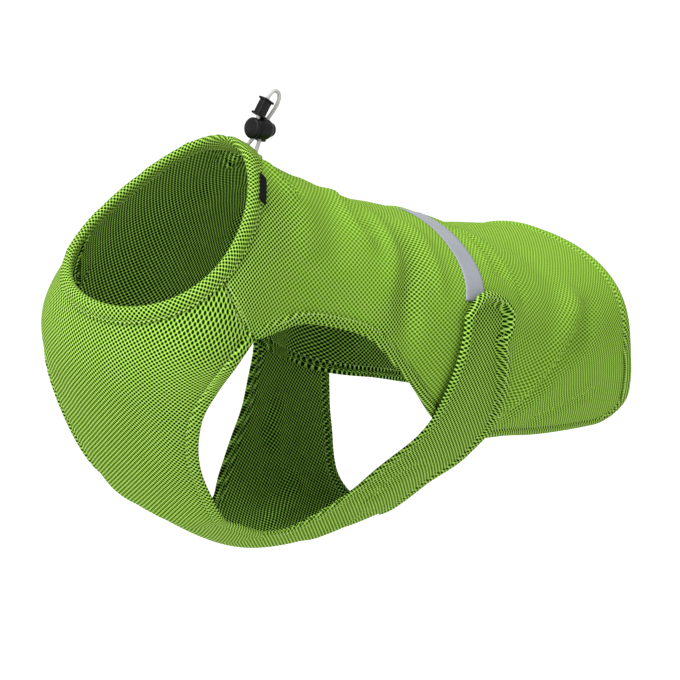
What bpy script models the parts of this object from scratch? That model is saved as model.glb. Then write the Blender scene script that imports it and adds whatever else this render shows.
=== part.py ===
"""Dog cooling vest: mesh back panel, chest panel with two belly straps, drawcord neck.

The cloth stands in the hollow form of a general dog's trunk. The dog would face -X, its left side
is -Y, and the origin is where the back panel rests on the withers. Lengths are in millimetres until
the last step, which writes metres. An angle runs round the body from 0 at the back to 180 at the
chest, positive on the left side; a station runs along the body from 0 at the neck edge to the tail.
"""

import functools
import math

import bmesh
import bpy
import numpy as np
from mathutils import Matrix, Vector

MM = 0.001

# ---- driving sizes, in millimetres ----
CLOTH = 2.0  # spacer mesh
HEM_CLOTH = 3.0  # the same cloth where its edge is turned in and stitched
HEM_WIDTH = 8.0
SEAM_GAP = 0.3
STRAP_LIFT = 4.6  # outer face of a belly strap above the back panel's outer face
STITCH_MARGIN = 0.6  # from the casing's lower edge to the panels' first free row
TAPE_WIDTH, TAPE_THICK = 20.0, 0.5
TAG_THICK = 0.9
CORD_RADIUS = 1.5
LOCK_LENGTH, LOCK_RADIUS = 18.0, 8.0
CLIP_LENGTH, CLIP_WIDTH, CLIP_DEPTH = 14.0, 10.5, 8.0

# ---- the form: one row for each section of the body, from neck to tail ----
# (name, top x, top z, bottom x, bottom z, half width, egg, square, bow); egg narrows the chest side,
# square fills the corners, bow moves the section's sides towards the head
SECTIONS = (
    ("neck edge", -113, 34, -212, -91, 64.5, -0.09, 0.00, -10),
    ("shoulder", -60, 15.5, -200, -151, 91, -0.14, 0.08, -2),
    ("withers", 0, 2, -130, -239, 109, -0.10, 0.15, 0),
    ("armpit", 60, -9, -90, -264, 109, 0.08, 0.13, 0),
    ("girth", 126, -13, -5, -291, 106, 0.25, 0.10, 0),
    ("strap", 183, -23, 94, -285, 102, 0.27, 0.05, 0),
    ("loin", 248, -23, 222, -253, 96, 0.26, 0.03, 0),
    ("rump", 316, -20, 357, -237, 91, 0.24, 0.01, 0),
    ("hem", 384, -18, 492, -221, 86, 0.22, 0.00, 0),
)

# ---- cut edges, each row (station, angle); on the right the empty cloth sags lower at the armhole ----
LEFT, RIGHT = 1, -1
SEAM_NECK_ANGLE = 99.0  # the shoulder seam's upper end; its lower end is where the back panel's hem starts
BACK_HEM = {
    LEFT: (
        (1.14, 100.6), (1.62, 79.0), (2.40, 70.8), (3.3, 77.5), (4.2, 88.9), (5.0, 98.0), (5.7, 108.0),
        (6.4, 116.5), (7.4, 118.5),
    ),
    RIGHT: (
        (1.14, 107.5), (1.48, 109.5), (1.95, 99.5), (2.45, 88.5), (3.0, 82.0), (3.6, 84.0), (4.2, 90.5),
        (5.0, 99.0), (5.7, 108.0), (6.4, 116.5), (7.4, 118.5),
    ),
}
# rear edge, each row (share of the way from the ridge to the side hem, station)
REAR_EDGE = ((0.0, 6.66), (0.20, 6.76), (0.46, 6.82), (0.60, 6.92), (0.75, 7.14), (0.86, 7.28), (1.0, 7.34))
REAR_CORNER_START, REAR_CORNER_CUT = 0.84, 0.28

# chest panel between the armholes: rows of (station at the centre, station at the edge, edge angle)
SEAM_CENTRE_END = 1.03  # station on the centre line level with the shoulder seams' lower ends
CHEST_SEAM_ANGLE_GAP = 0.45  # degrees between the two panels' edges at the shoulder seam
CHEST_ARMHOLE_ROWS = {
    LEFT: (
        (1.03, 1.14, 101.05), (1.11, 1.142, 112.5), (1.20, 1.175, 125.5), (1.42, 1.30, 138.0), (1.78, 1.57, 147.2),
        (2.20, 1.93, 149.6), (2.66, 2.40, 148.8), (3.13, 3.02, 147.4), (3.60, 3.58, 145.6),
    ),
    RIGHT: (
        (1.03, 1.14, 107.95), (1.11, 1.142, 117.0), (1.20, 1.175, 128.0), (1.42, 1.30, 140.0), (1.78, 1.60, 149.5),
        (2.20, 2.05, 154.5), (2.66, 2.55, 156.2), (3.13, 3.12, 156.0), (3.60, 3.66, 154.5),
    ),
}

# belly strap from the belly's centre to its tip: front and rear edge, rows of (station, angle)
STRAP_FRONT_TIP = ((4.10, 79.5), (3.91, 70.0), (3.74, 61.5), (3.59, 53.5))
STRAP_FRONT = {
    LEFT: ((3.58, 145.6), (3.87, 140.0), (4.04, 130.5), (4.20, 119.0), (4.21, 105.0), (4.22, 91.0), *STRAP_FRONT_TIP),
    RIGHT: ((3.66, 154.5), (4.00, 149.0), (4.08, 136.0), (4.14, 121.5), (4.21, 106.5), (4.22, 92.0), *STRAP_FRONT_TIP),
}
STRAP_REAR = (
    (5.44, 158.0), (5.38, 145.0), (5.36, 133.0), (5.36, 120.0), (5.36, 108.0),
    (5.32, 97.0), (5.13, 86.0), (4.90, 76.0), (4.70, 67.0), (4.50, 58.5),
)
STRAP_REAR_CENTRE = 5.60  # station of the belly's rear edge on the centre line
STRAP_TIP_REACH = 13.5  # degrees that the round tip adds
STRAP_TIP_NARROWING, STRAP_TIP_LEAN, STRAP_TIP_ROUNDNESS = 0.13, 0.05, 2.4
STRAP_HEM_SHARE = 0.13  # of the strap's width
STRAP_RISE_START, STRAP_RISE_END = 7.0, 26.0  # degrees outside the back panel's hem where it lifts

# tape across the back: its centre's station by angle
TAPE_CENTRE = ((0.0, 3.78), (12.0, 3.66), (26.0, 3.58), (48.0, 3.66))
TAPE_HALF_ANGLE = 47.0

# tag on the left of the casing: degrees along the neck, then rows of (distance beyond the casing's lower
# edge, height of the tag's inner face above the panel)
TAG_ANGLES, TAG_STEPS = (38.0, 54.5), 3
TAG_ROWS = ((-5.0, 3.0), (0.4, 2.4), (2.5, 1.8))

# neck casing: a strip folded over the panels' top edge, open along its lower side
CASING_DEPTH, CASING_NAPE_EXTRA, CASING_NAPE_POWER = 12.0, 22.0, 20
PANEL_START_SHARE = 0.76  # where the panels' cut edge lies inside the casing
# rows of (share of the depth, height above the panel's outer face), round the strip's section
CASING_PROFILE = (
    (1.00, 1.9), (0.76, 2.0), (0.55, 2.6), (0.20, 2.2), (0.05, 0.9), (0.00, -1.0),
    (0.05, -2.9), (0.20, -4.2), (0.55, -4.6), (0.76, -4.0), (1.00, -3.9),
    (1.00, -2.35), (0.73, -2.35), (0.55, -3.0), (0.24, -2.9), (0.13, -1.0),
    (0.24, 0.9), (0.55, 1.0), (0.73, 0.35), (1.00, 0.35),
)

# drawcord: the free loop's route, by hand, from one exit at the nape through the lock and clip
CORD_ROUTE = (
    (-93.4, 0.0, 26.6), (-93.2, -0.6, 30.0), (-92.2, -2.2, 33.5), (-91.4, -3.6, 38.0), (-91.2, -4.0, 43.5),
    (-91.8, -4.0, 49.0), (-92.4, -4.0, 52.5), (-90.9, -4.0, 56.8), (-89.3, -4.0, 61.2), (-87.7, -4.0, 65.6),
    (-85.6, -4.0, 69.8), (-82.4, -4.0, 72.4), (-78.8, -4.2, 72.2), (-76.2, -4.4, 69.4), (-76.0, -4.6, 65.2),
    (-77.6, -4.6, 60.2), (-80.2, -4.4, 55.0), (-83.2, -4.2, 49.6), (-85.4, -4.0, 43.5),
    (-86.6, -4.8, 38.0), (-88.2, -6.4, 33.0), (-90.3, -7.9, 29.0), (-90.9, -8.4, 25.6),
)
CORD_INSIDE_SHARE, CORD_INSIDE_HEIGHT = 0.36, -1.0  # the cord's line inside the casing
CORD_INSIDE_START, CORD_INSIDE_STEPS = 13.0, 72  # degrees from the nape where the hidden stretch begins
EYELET_RADIUS, EYELET_REACH, EYELET_SINK = 2.4, 9.0, 2.5
LOCK_CENTRE = (-88.3, -4.0, 43.4)
CLIP_CENTRE, CLIP_TILT = (-90.0, -4.0, 59.2), 20.0


# ---- curves and the form ----
def catmull_rom(rows, place):
    """Smooth curve through the rows, at a place counted in rows."""
    rows = np.asarray(rows, float)
    padded = np.vstack([2 * rows[0] - rows[1], rows, 2 * rows[-1] - rows[-2]])
    first = int(min(max(math.floor(place), 0), len(rows) - 2))
    t = place - first
    a, b, c, d = padded[first : first + 4]
    return 0.5 * (2 * b + (c - a) * t + (2 * a - 5 * b + 4 * c - d) * t**2 + (3 * b - a - 3 * c + d) * t**3)


@functools.lru_cache(maxsize=None)
def fine_edge(rows):
    return np.array([catmull_rom(rows, i / 24) for i in range(24 * (len(rows) - 1) + 1)])


def edge_value(rows, at):
    """Second column of a smooth edge where its first column is `at`."""
    fine = fine_edge(rows)
    return float(np.interp(at, fine[:, 0], fine[:, 1]))


def smooth_step(low, high, value):
    t = min(max((value - low) / (high - low), 0.0), 1.0)
    return t * t * (3 - 2 * t)


SECTION_NUMBERS = [row[1:] for row in SECTIONS]


def form_point(station, angle):
    """Point of the cloth's outer face, in millimetres."""
    top_x, top_z, bottom_x, bottom_z, half_width, egg, square, bow = catmull_rom(SECTION_NUMBERS, station)
    turn = math.radians(angle)
    middle = Vector(((top_x + bottom_x) / 2, 0, (top_z + bottom_z) / 2))
    up = Vector(((top_x - bottom_x) / 2, 0, (top_z - bottom_z) / 2))
    ahead = Vector((-up.z, 0, up.x)).normalized()
    side = half_width * (math.sin(turn) + egg * math.sin(2 * turn) + square * math.sin(3 * turn))
    return middle + up * math.cos(turn) + ahead * (bow * math.sin(turn) ** 2) + Vector((0, -side, 0))


def form_normal(station, angle):
    along = form_point(station + 0.01, angle) - form_point(station - 0.01, angle)
    around = form_point(station, angle + 0.5) - form_point(station, angle - 0.5)
    return around.cross(along).normalized()


def above(station, angle, height):
    return form_point(station, angle) + form_normal(station, angle) * height


def station_at(angle, distance):
    """Station that lies a distance from the neck edge, in millimetres."""
    return distance * 0.25 / (form_point(0.25, angle) - form_point(0.0, angle)).length


def degrees_for(station, angle, distance):
    return distance / (form_point(station, angle + 0.5) - form_point(station, angle - 0.5)).length


def casing_depth(angle):
    """Depth of the folded strip: even round the neck, deeper at the nape where the cord comes out."""
    return CASING_DEPTH + CASING_NAPE_EXTRA * max(math.cos(math.radians(angle)), 0.0) ** CASING_NAPE_POWER


# ---- meshes ----
def material(name, colour, roughness, metallic=0.0):
    made = bpy.data.materials.new(name)
    made.use_nodes = True
    shader = made.node_tree.nodes["Principled BSDF"]
    shader.inputs["Base Color"].default_value = (*colour, 1)
    shader.inputs["Roughness"].default_value = roughness
    shader.inputs["Metallic"].default_value = metallic
    made.diffuse_color = (*colour, 1)
    return made


def object_from(name, bm, finish, smooth=True):
    mesh = bpy.data.meshes.new(name)
    bm.to_mesh(mesh)
    bm.free()
    mesh.materials.append(finish)
    made = bpy.data.objects.new(name, mesh)
    bpy.context.scene.collection.objects.link(made)
    if smooth:
        mesh.shade_smooth()
        mesh.set_sharp_from_angle(angle=math.radians(50))
    return made


def grid(bm, rows, inside=False):
    """Triangles over equal rows of points, all split along the same diagonal. Returns the vertices."""
    verts = [[bm.verts.new(point * MM) for point in row] for row in rows]
    for near, far in zip(verts, verts[1:]):
        for i in range(len(near) - 1):
            for corners in ((near[i], near[i + 1], far[i + 1]), (near[i], far[i + 1], far[i])):
                bm.faces.new(corners[::-1] if inside else corners)
    return verts


def cloth_wall(name, sheets, hem_points, finish):
    """Sheets of outer-face points, joined along shared rows and given their thickness inwards."""
    bm = bmesh.new()
    for rows in sheets:
        grid(bm, rows)
    bmesh.ops.remove_doubles(bm, verts=bm.verts, dist=0.02 * MM)
    made = object_from(name, bm, finish)
    hem = made.vertex_groups.new(name="hem")
    marked = {tuple(round(c, 2) for c in point) for point in hem_points}
    for vertex in made.data.vertices:
        key = tuple(round(c / MM, 2) for c in vertex.co)
        hem.add([vertex.index], 1.0 if key in marked else CLOTH / HEM_CLOTH, "REPLACE")
    wall = made.modifiers.new("wall", "SOLIDIFY")
    wall.thickness = HEM_CLOTH * MM
    wall.offset = -1.0
    wall.vertex_group = "hem"
    wall.use_quality_normals = True
    return made


def layer(name, low, high, finish):
    """Closed solid between two equal grids of points, the second one further out."""
    bm = bmesh.new()
    outer = grid(bm, high)
    inner = grid(bm, low, inside=True)
    rim_out = outer[0] + [row[-1] for row in outer[1:]] + outer[-1][-2::-1] + [row[0] for row in outer[-2:0:-1]]
    rim_in = inner[0] + [row[-1] for row in inner[1:]] + inner[-1][-2::-1] + [row[0] for row in inner[-2:0:-1]]
    count = len(rim_out)
    for i in range(count):
        j = (i + 1) % count
        bm.faces.new((rim_out[j], rim_out[i], rim_in[i], rim_in[j]))
    bmesh.ops.recalc_face_normals(bm, faces=bm.faces)
    return object_from(name, bm, finish)


# ---- back panel, tape ----
BACK_COLUMNS = 13  # on each side of the ridge, hem column included


def hem_angle(station, side):
    seam_station, seam_angle = BACK_HEM[side][0]
    if station <= seam_station:
        return SEAM_NECK_ANGLE + station / seam_station * (seam_angle - SEAM_NECK_ANGLE)
    return edge_value(BACK_HEM[side], station)


def back_angle(column, station):
    """Angle of a column, -BACK_COLUMNS..BACK_COLUMNS, the last one on the edge and the next a hem in."""
    edge = hem_angle(station, RIGHT if column < 0 else LEFT)
    inset = degrees_for(station, edge, HEM_WIDTH)
    size = abs(column)
    angle = edge if size == BACK_COLUMNS else (edge - inset) * size / (BACK_COLUMNS - 1)
    return math.copysign(angle, column)


def rear_station(share):
    station = edge_value(REAR_EDGE, share)
    if share > REAR_CORNER_START:
        into = (share - REAR_CORNER_START) / (1 - REAR_CORNER_START)
        station -= REAR_CORNER_CUT * (1 - math.sqrt(max(1 - into**2, 0)))
    return station


def tape_centre(angle):
    return edge_value(TAPE_CENTRE, min(abs(angle), TAPE_CENTRE[-1][0]))


def tape_edge(angle, side):
    centre = tape_centre(angle)
    step = (form_point(centre + 0.1, angle) - form_point(centre - 0.1, angle)).length / 0.2
    return centre + side * TAPE_WIDTH / 2 / step


# key lines across the back panel and how many rows lead up to each
SEAM_ROWS = 4
BACK_ROWS = (
    ("panel start", 0),
    ("casing edge", 1),
    ("armhole corner", SEAM_ROWS),
    ("tape front", 11),
    ("tape rear", 1),
    ("hem line", 13),
    ("edge", 1),
)


def key_station(name, column, angle):
    share = abs(column) / BACK_COLUMNS
    if name == "panel start":
        return station_at(angle, casing_depth(angle) * PANEL_START_SHARE)
    if name == "casing edge":
        return station_at(angle, casing_depth(angle) + STITCH_MARGIN)
    if name == "armhole corner":
        return BACK_HEM[LEFT][0][0]
    if name in ("tape front", "tape rear"):
        return tape_edge(angle, -1 if name == "tape front" else 1)
    edge = rear_station(share)
    if name == "edge":
        return edge
    step = (form_point(edge, angle) - form_point(edge - 0.2, angle)).length / 0.2
    return edge - HEM_WIDTH / step


def back_place(row, column):
    """(station, angle) of a point of the back panel's grid."""
    passed = 0
    for (before, _), (name, count) in zip(BACK_ROWS, BACK_ROWS[1:]):
        if row <= passed + count:
            break
        passed += count
    share = (row - passed) / count
    angle = column / BACK_COLUMNS * SEAM_NECK_ANGLE
    for _ in range(5):
        station = (1 - share) * key_station(before, column, angle) + share * key_station(name, column, angle)
        angle = back_angle(column, station)
    return station, angle


def rows_before(key):
    """Number of the back panel's grid row that lies on a key line."""
    names = [name for name, _ in BACK_ROWS]
    return sum(count for _, count in BACK_ROWS[: names.index(key) + 1])


COLUMNS = range(-BACK_COLUMNS, BACK_COLUMNS + 1)


def back_panel(finish):
    rows = [[form_point(*back_place(row, column)) for column in COLUMNS] for row in range(rows_before("edge") + 1)]
    armhole_start = rows_before("armhole corner") + 1
    hems = [point for line in rows[armhole_start:] for point in (line[0], line[1], line[-2], line[-1])]
    hems += rows[-1] + rows[-2]
    return cloth_wall("back_panel", [rows], hems, finish)


def reflective_tape(finish):
    low, high = [], []
    front = rows_before("tape front")
    covered = [column for column in COLUMNS if abs(back_place(front, column)[1]) <= TAPE_HALF_ANGLE]
    for row in (front, front + 1):
        places = [back_place(row, column) for column in covered]
        low.append([above(*place, SEAM_GAP) for place in places])
        high.append([above(*place, SEAM_GAP + TAPE_THICK) for place in places])
    return layer("reflective_tape", low, high, finish)


# ---- chest panel with its two belly straps ----
CHEST_COLUMNS = 7  # on each side of the centre, hem column included
CHEST_LINES_PER_ROW = 2
STRAP_LINES_PER_ROW = 2
STRAP_WIDTH_LINES = 8
STRAP_TIP_LINES = 3


def chest_rows(side):
    """Rows of (station at centre, station at edge, edge angle), from the casing to the belly."""
    seam = []
    for row in range(SEAM_ROWS + 1):
        station, angle = back_place(row + rows_before("casing edge"), side * BACK_COLUMNS)
        share = row / SEAM_ROWS
        start = station_at(180.0, casing_depth(180.0) + STITCH_MARGIN)
        centre = start + (SEAM_CENTRE_END - start) * share
        seam.append((centre, station, abs(angle) + CHEST_SEAM_ANGLE_GAP))
    rows = CHEST_ARMHOLE_ROWS[side]
    arm_count = CHEST_LINES_PER_ROW * (len(rows) - 1)
    arm = [catmull_rom(rows, i / CHEST_LINES_PER_ROW) for i in range(1, arm_count + 1)]
    return seam, arm


def chest_share(column, edge_station, edge_angle):
    """How far a column lies from the centre line to the edge, 0 to 1."""
    inset = degrees_for(edge_station, edge_angle, HEM_WIDTH) / (180.0 - edge_angle)
    if column == CHEST_COLUMNS:
        return 1.0
    return (1 - inset) * column / (CHEST_COLUMNS - 1)


def chest_place(row, column, side):
    centre_station, edge_station, edge_angle = row
    share = chest_share(column, edge_station, edge_angle)
    station = centre_station + (edge_station - centre_station) * share**2
    return station, side * (180.0 - share * (180.0 - edge_angle))


def neck_row(row, side):
    """Places of the chest panel's first rows, which go on from the back panel's round the neck."""
    edge_station, edge_angle = back_place(row, side * BACK_COLUMNS)
    edge_angle = abs(edge_angle) + CHEST_SEAM_ANGLE_GAP
    places = []
    for column in range(CHEST_COLUMNS + 1):
        angle = 180.0 - chest_share(column, edge_station, edge_angle) * (180.0 - edge_angle)
        places.append((key_station(BACK_ROWS[row][0], 0, angle), side * angle))
    return places


def strap_lift(station, angle):
    """Height of a belly strap's outer face: level on the belly, clear of the back panel above its hem."""
    edge = hem_angle(min(station, BACK_HEM[LEFT][-1][0]), LEFT)
    return STRAP_LIFT * (1 - smooth_step(edge + STRAP_RISE_START, edge + STRAP_RISE_END, angle))


def strap_lines(side):
    """Lines across a strap, front (station, angle) and rear (station, angle), belly centre to tip."""
    rows = [front + rear for front, rear in zip(STRAP_FRONT[side], STRAP_REAR)]
    front_edge_station, front_edge_angle, rear_edge_station, rear_edge_angle = rows[0]
    front_centre = CHEST_ARMHOLE_ROWS[side][-1][0]
    lines = []
    for column in range(CHEST_COLUMNS + 1):
        share = chest_share(column, front_edge_station, front_edge_angle)
        front_station = front_centre + (front_edge_station - front_centre) * share**2
        front_angle = 180.0 - share * (180.0 - front_edge_angle)
        rear_angle = 180.0 - share * (180.0 - rear_edge_angle)
        rear_station = STRAP_REAR_CENTRE + (rear_edge_station - STRAP_REAR_CENTRE) * share**2
        lines.append((front_station, front_angle, rear_station, rear_angle))
    count = STRAP_LINES_PER_ROW * (len(rows) - 1)
    return lines + [tuple(catmull_rom(rows, i / STRAP_LINES_PER_ROW)) for i in range(1, count + 1)]


def strap_place(line, across, reach):
    """Place on a strap: across runs from its front edge to its rear edge, reach out into the round tip."""
    front_station, front_angle, rear_station, rear_angle = line
    station = front_station + (rear_station - front_station) * across
    angle = front_angle + (rear_angle - front_angle) * across
    middle = (front_station + rear_station) / 2
    narrowed = middle + (station - middle) * (1 - STRAP_TIP_NARROWING * reach**2)
    round_end = 0.1 + 0.9 * (1 - abs(2 * across - 1) ** STRAP_TIP_ROUNDNESS)
    return narrowed - STRAP_TIP_LEAN * reach, angle - STRAP_TIP_REACH * reach * round_end


def strap_point(station, angle, side):
    point = above(station, angle, strap_lift(station, angle))
    return Vector((point.x, point.y * side, point.z))


def strap_points(side):
    """Rows of a strap's outer-face points, from the belly's centre line to the tip."""
    steps = STRAP_WIDTH_LINES - 2
    inner = [STRAP_HEM_SHARE + (1 - 2 * STRAP_HEM_SHARE) * i / steps for i in range(steps + 1)]
    shares = [0.0, *inner, 1.0]
    lines = strap_lines(side)
    ends = [(line, 0.0) for line in lines]
    ends += [(lines[-1], step / STRAP_TIP_LINES) for step in range(1, STRAP_TIP_LINES + 1)]
    return [[strap_point(*strap_place(line, across, reach), side) for across in shares] for line, reach in ends]


def chest_half(side):
    """Rows of points from the chest's centre line to one edge, and those of them that are turned hem."""
    seam, arm = chest_rows(side)
    rows = [[form_point(*place) for place in neck_row(row, side)] for row in (0, 1)]
    for row in seam[1:] + arm:
        rows.append([form_point(*chest_place(row, column, side)) for column in range(CHEST_COLUMNS + 1)])
    hems = [point for row in rows[-len(arm) :] for point in row[-2:]]
    return rows, hems


def chest_panel(finish):
    left, left_hems = chest_half(LEFT)
    right, right_hems = chest_half(RIGHT)
    sheets = [[list(reversed(l_row)) + r_row[1:] for l_row, r_row in zip(left, right)]]
    hems = left_hems + right_hems
    for side, junction in ((LEFT, left[-1]), (RIGHT, right[-1])):
        rows = strap_points(side)
        for row, point in zip(rows, junction):
            row[0] = point
        hems += [point for row in rows for point in row[-2:]]
        hems += [point for row in rows[CHEST_COLUMNS + 1 :] for point in row[:2]]
        hems += rows[-1] + rows[-2]
        sheets.append(rows if side == LEFT else [list(reversed(row)) for row in rows])
    return cloth_wall("chest_panel", sheets, hems, finish)


# ---- neck casing, tag ----
def neck_angles():
    """Angles round the neck: the back panel's columns, then the chest panel's, so that facets match."""
    back = [back_place(1, column)[1] for column in COLUMNS]
    left = [angle for _, angle in neck_row(1, LEFT)]
    right = [360.0 + angle for _, angle in neck_row(1, RIGHT)]
    return back + left[::-1] + right[1:]


def neck_casing(finish):
    bm = bmesh.new()
    rings = []
    for angle in neck_angles():
        depth = casing_depth(angle)
        ring = [above(station_at(angle, share * depth), angle, height) for share, height in CASING_PROFILE]
        rings.append([bm.verts.new(point * MM) for point in ring])
    for here, there in zip(rings, rings[1:] + rings[:1]):
        for i in range(len(here)):
            j = (i + 1) % len(here)
            bm.faces.new((here[i], here[j], there[j], there[i]))
    bmesh.ops.recalc_face_normals(bm, faces=bm.faces)
    made = object_from("neck_casing", bm, finish)
    for index, place in enumerate((0.5, len(CORD_ROUTE) - 1.5)):
        cut = made.modifiers.new(f"eyelet {index}", "BOOLEAN")
        cut.operation = "DIFFERENCE"
        cut.object = upright_rod(f"eyelet_cutter_{index}", catmull_rom(CORD_ROUTE, place))
    return made


def upright_rod(name, foot):
    """Hidden upright rod that stands at a point, for the round hole where the cord comes out."""
    bm = bmesh.new()
    bmesh.ops.create_cone(bm, cap_ends=True, segments=20, radius1=EYELET_RADIUS * MM,
                          radius2=EYELET_RADIUS * MM, depth=EYELET_REACH * MM)
    bmesh.ops.translate(bm, verts=bm.verts, vec=(Vector(foot) + Vector((0, 0, EYELET_REACH / 2 - EYELET_SINK))) * MM)
    mesh = bpy.data.meshes.new(name)
    bm.to_mesh(mesh)
    bm.free()
    return hidden_cutter(name, mesh)


def hidden_cutter(name, mesh):
    made = bpy.data.objects.new(name, mesh)
    bpy.context.scene.collection.objects.link(made)
    made.hide_render = True
    made.display_type = "WIRE"
    return made


def neck_tag(finish):
    """Label sewn over the casing's lower edge."""
    low, high = [], []
    first, last = TAG_ANGLES
    for step in range(TAG_STEPS + 1):
        angle = first + (last - first) * step / TAG_STEPS
        places = [(station_at(angle, casing_depth(angle) + beyond), lift) for beyond, lift in TAG_ROWS]
        low.append([above(station, angle, lift) for station, lift in places])
        high.append([above(station, angle, lift + TAG_THICK) for station, lift in places])
    return layer("neck_tag", low, high, finish)


# ---- drawcord, lock and clip ----
def tube(name, points, radius, finish):
    curve = bpy.data.curves.new(name, "CURVE")
    curve.dimensions = "3D"
    curve.bevel_depth = radius * MM
    curve.bevel_resolution = 2
    curve.use_fill_caps = True
    spline = curve.splines.new("POLY")
    spline.points.add(len(points) - 1)
    for target, point in zip(spline.points, points):
        target.co = (*(Vector(point) * MM), 1)
    curve.materials.append(finish)
    made = bpy.data.objects.new(name, curve)
    bpy.context.scene.collection.objects.link(made)
    return made


def drawcord_loop(finish):
    count = 2 * (len(CORD_ROUTE) - 1)
    points = [catmull_rom(CORD_ROUTE, i / 2) for i in range(count + 1)]
    return tube("drawcord", points, CORD_RADIUS, finish)


def drawcord_inside(finish):
    points = []
    for i in range(CORD_INSIDE_STEPS + 1):
        angle = CORD_INSIDE_START + (360 - 2 * CORD_INSIDE_START) * i / CORD_INSIDE_STEPS
        depth = casing_depth(angle) * CORD_INSIDE_SHARE
        points.append(above(station_at(angle, depth), angle, CORD_INSIDE_HEIGHT))
    return tube("drawcord_in_casing", points, CORD_RADIUS, finish)


def bored(made, name, points, radius):
    """Cuts the cord's way through a piece, along a stretch of the cord's route."""
    guide = tube(name, points, radius, made.data.materials[0])
    bpy.context.view_layer.update()
    mesh = bpy.data.meshes.new_from_object(guide.evaluated_get(bpy.context.evaluated_depsgraph_get()))
    bpy.data.objects.remove(guide)
    bm = bmesh.new()
    bm.from_mesh(mesh)
    bmesh.ops.remove_doubles(bm, verts=bm.verts, dist=0.001 * MM)
    bmesh.ops.recalc_face_normals(bm, faces=bm.faces)
    bm.to_mesh(mesh)
    bm.free()
    cut = made.modifiers.new(name, "BOOLEAN")
    cut.operation = "DIFFERENCE"
    cut.object = hidden_cutter(name, mesh)


def cord_stretch(first, last):
    """Points of the route between two of its rows."""
    return [catmull_rom(CORD_ROUTE, first + i / 2) for i in range(2 * (last - first) + 1)]


def cord_lock(finish):
    """Barrel with round shoulders, lying along the back, bored twice for the cord."""
    bm = bmesh.new()
    turned = Matrix.Rotation(math.radians(90), 4, "Y")
    bmesh.ops.create_cone(bm, cap_ends=True, segments=28, radius1=LOCK_RADIUS * MM, radius2=LOCK_RADIUS * MM,
                          depth=LOCK_LENGTH * MM, matrix=turned)
    rims = [edge for edge in bm.edges if abs(edge.verts[0].co.x - edge.verts[1].co.x) < 1e-6]
    bmesh.ops.bevel(bm, geom=rims, offset=3.2 * MM, segments=3, profile=0.5, affect="EDGES", material=-1)
    bmesh.ops.translate(bm, verts=bm.verts, vec=Vector(LOCK_CENTRE) * MM)
    made = object_from("cord_lock", bm, finish)
    bored(made, "lock_bore_front", cord_stretch(2, 6), CORD_RADIUS + SEAM_GAP)
    bored(made, "lock_bore_rear", cord_stretch(16, 20), CORD_RADIUS + SEAM_GAP)
    return made


def lock_plunger(finish):
    """Push button at the lock's rear end."""
    bm = bmesh.new()
    turned = Matrix.Rotation(math.radians(90), 4, "Y")
    length, radius = 3.6, 5.4
    bmesh.ops.create_cone(bm, cap_ends=True, segments=24, radius1=radius * MM, radius2=radius * MM,
                          depth=length * MM, matrix=turned)
    outer = [e for e in bm.edges if min(v.co.x for v in e.verts) > 0.4 * length * MM]
    bmesh.ops.bevel(bm, geom=outer, offset=1.0 * MM, segments=2, profile=0.5, affect="EDGES", material=-1)
    centre = Vector(LOCK_CENTRE) + Vector((LOCK_LENGTH / 2 + SEAM_GAP + length / 2, 0, 0))
    bmesh.ops.translate(bm, verts=bm.verts, vec=centre * MM)
    return object_from("lock_plunger", bm, finish)


def cord_clip(finish):
    """Flat clip that holds the cord's loop, bored along its length."""
    bm = bmesh.new()
    bmesh.ops.create_cube(bm, size=1.0)
    bmesh.ops.scale(bm, verts=bm.verts, vec=Vector((CLIP_WIDTH, CLIP_DEPTH, CLIP_LENGTH)) * MM)
    bmesh.ops.bevel(bm, geom=bm.edges[:], offset=1.8 * MM, segments=2, profile=0.5, affect="EDGES", material=-1)
    bmesh.ops.rotate(bm, verts=bm.verts, matrix=Matrix.Rotation(math.radians(CLIP_TILT), 3, "Y"))
    bmesh.ops.translate(bm, verts=bm.verts, vec=Vector(CLIP_CENTRE) * MM)
    made = object_from("cord_clip", bm, finish)
    bored(made, "clip_bore", cord_stretch(5, 11), CORD_RADIUS + SEAM_GAP)
    return made


def build():
    for old in list(bpy.data.objects):
        bpy.data.objects.remove(old)
    mesh_cloth = material("lime spacer mesh", (0.28, 0.50, 0.03), 0.75)
    tape = material("silver reflective tape", (0.55, 0.56, 0.58), 0.35)
    tag = material("black label", (0.012, 0.012, 0.014), 0.6)
    cord = material("grey elastic cord", (0.50, 0.49, 0.49), 0.7)
    plastic = material("black plastic", (0.012, 0.012, 0.013), 0.35)
    back_panel(mesh_cloth)
    reflective_tape(tape)
    chest_panel(mesh_cloth)
    neck_casing(mesh_cloth)
    neck_tag(tag)
    drawcord_loop(cord)
    drawcord_inside(cord)
    cord_lock(plastic)
    lock_plunger(plastic)
    cord_clip(plastic)


build()
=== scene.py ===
import math

import bmesh
import bpy
import numpy as np
from mathutils import Matrix, Vector


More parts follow.
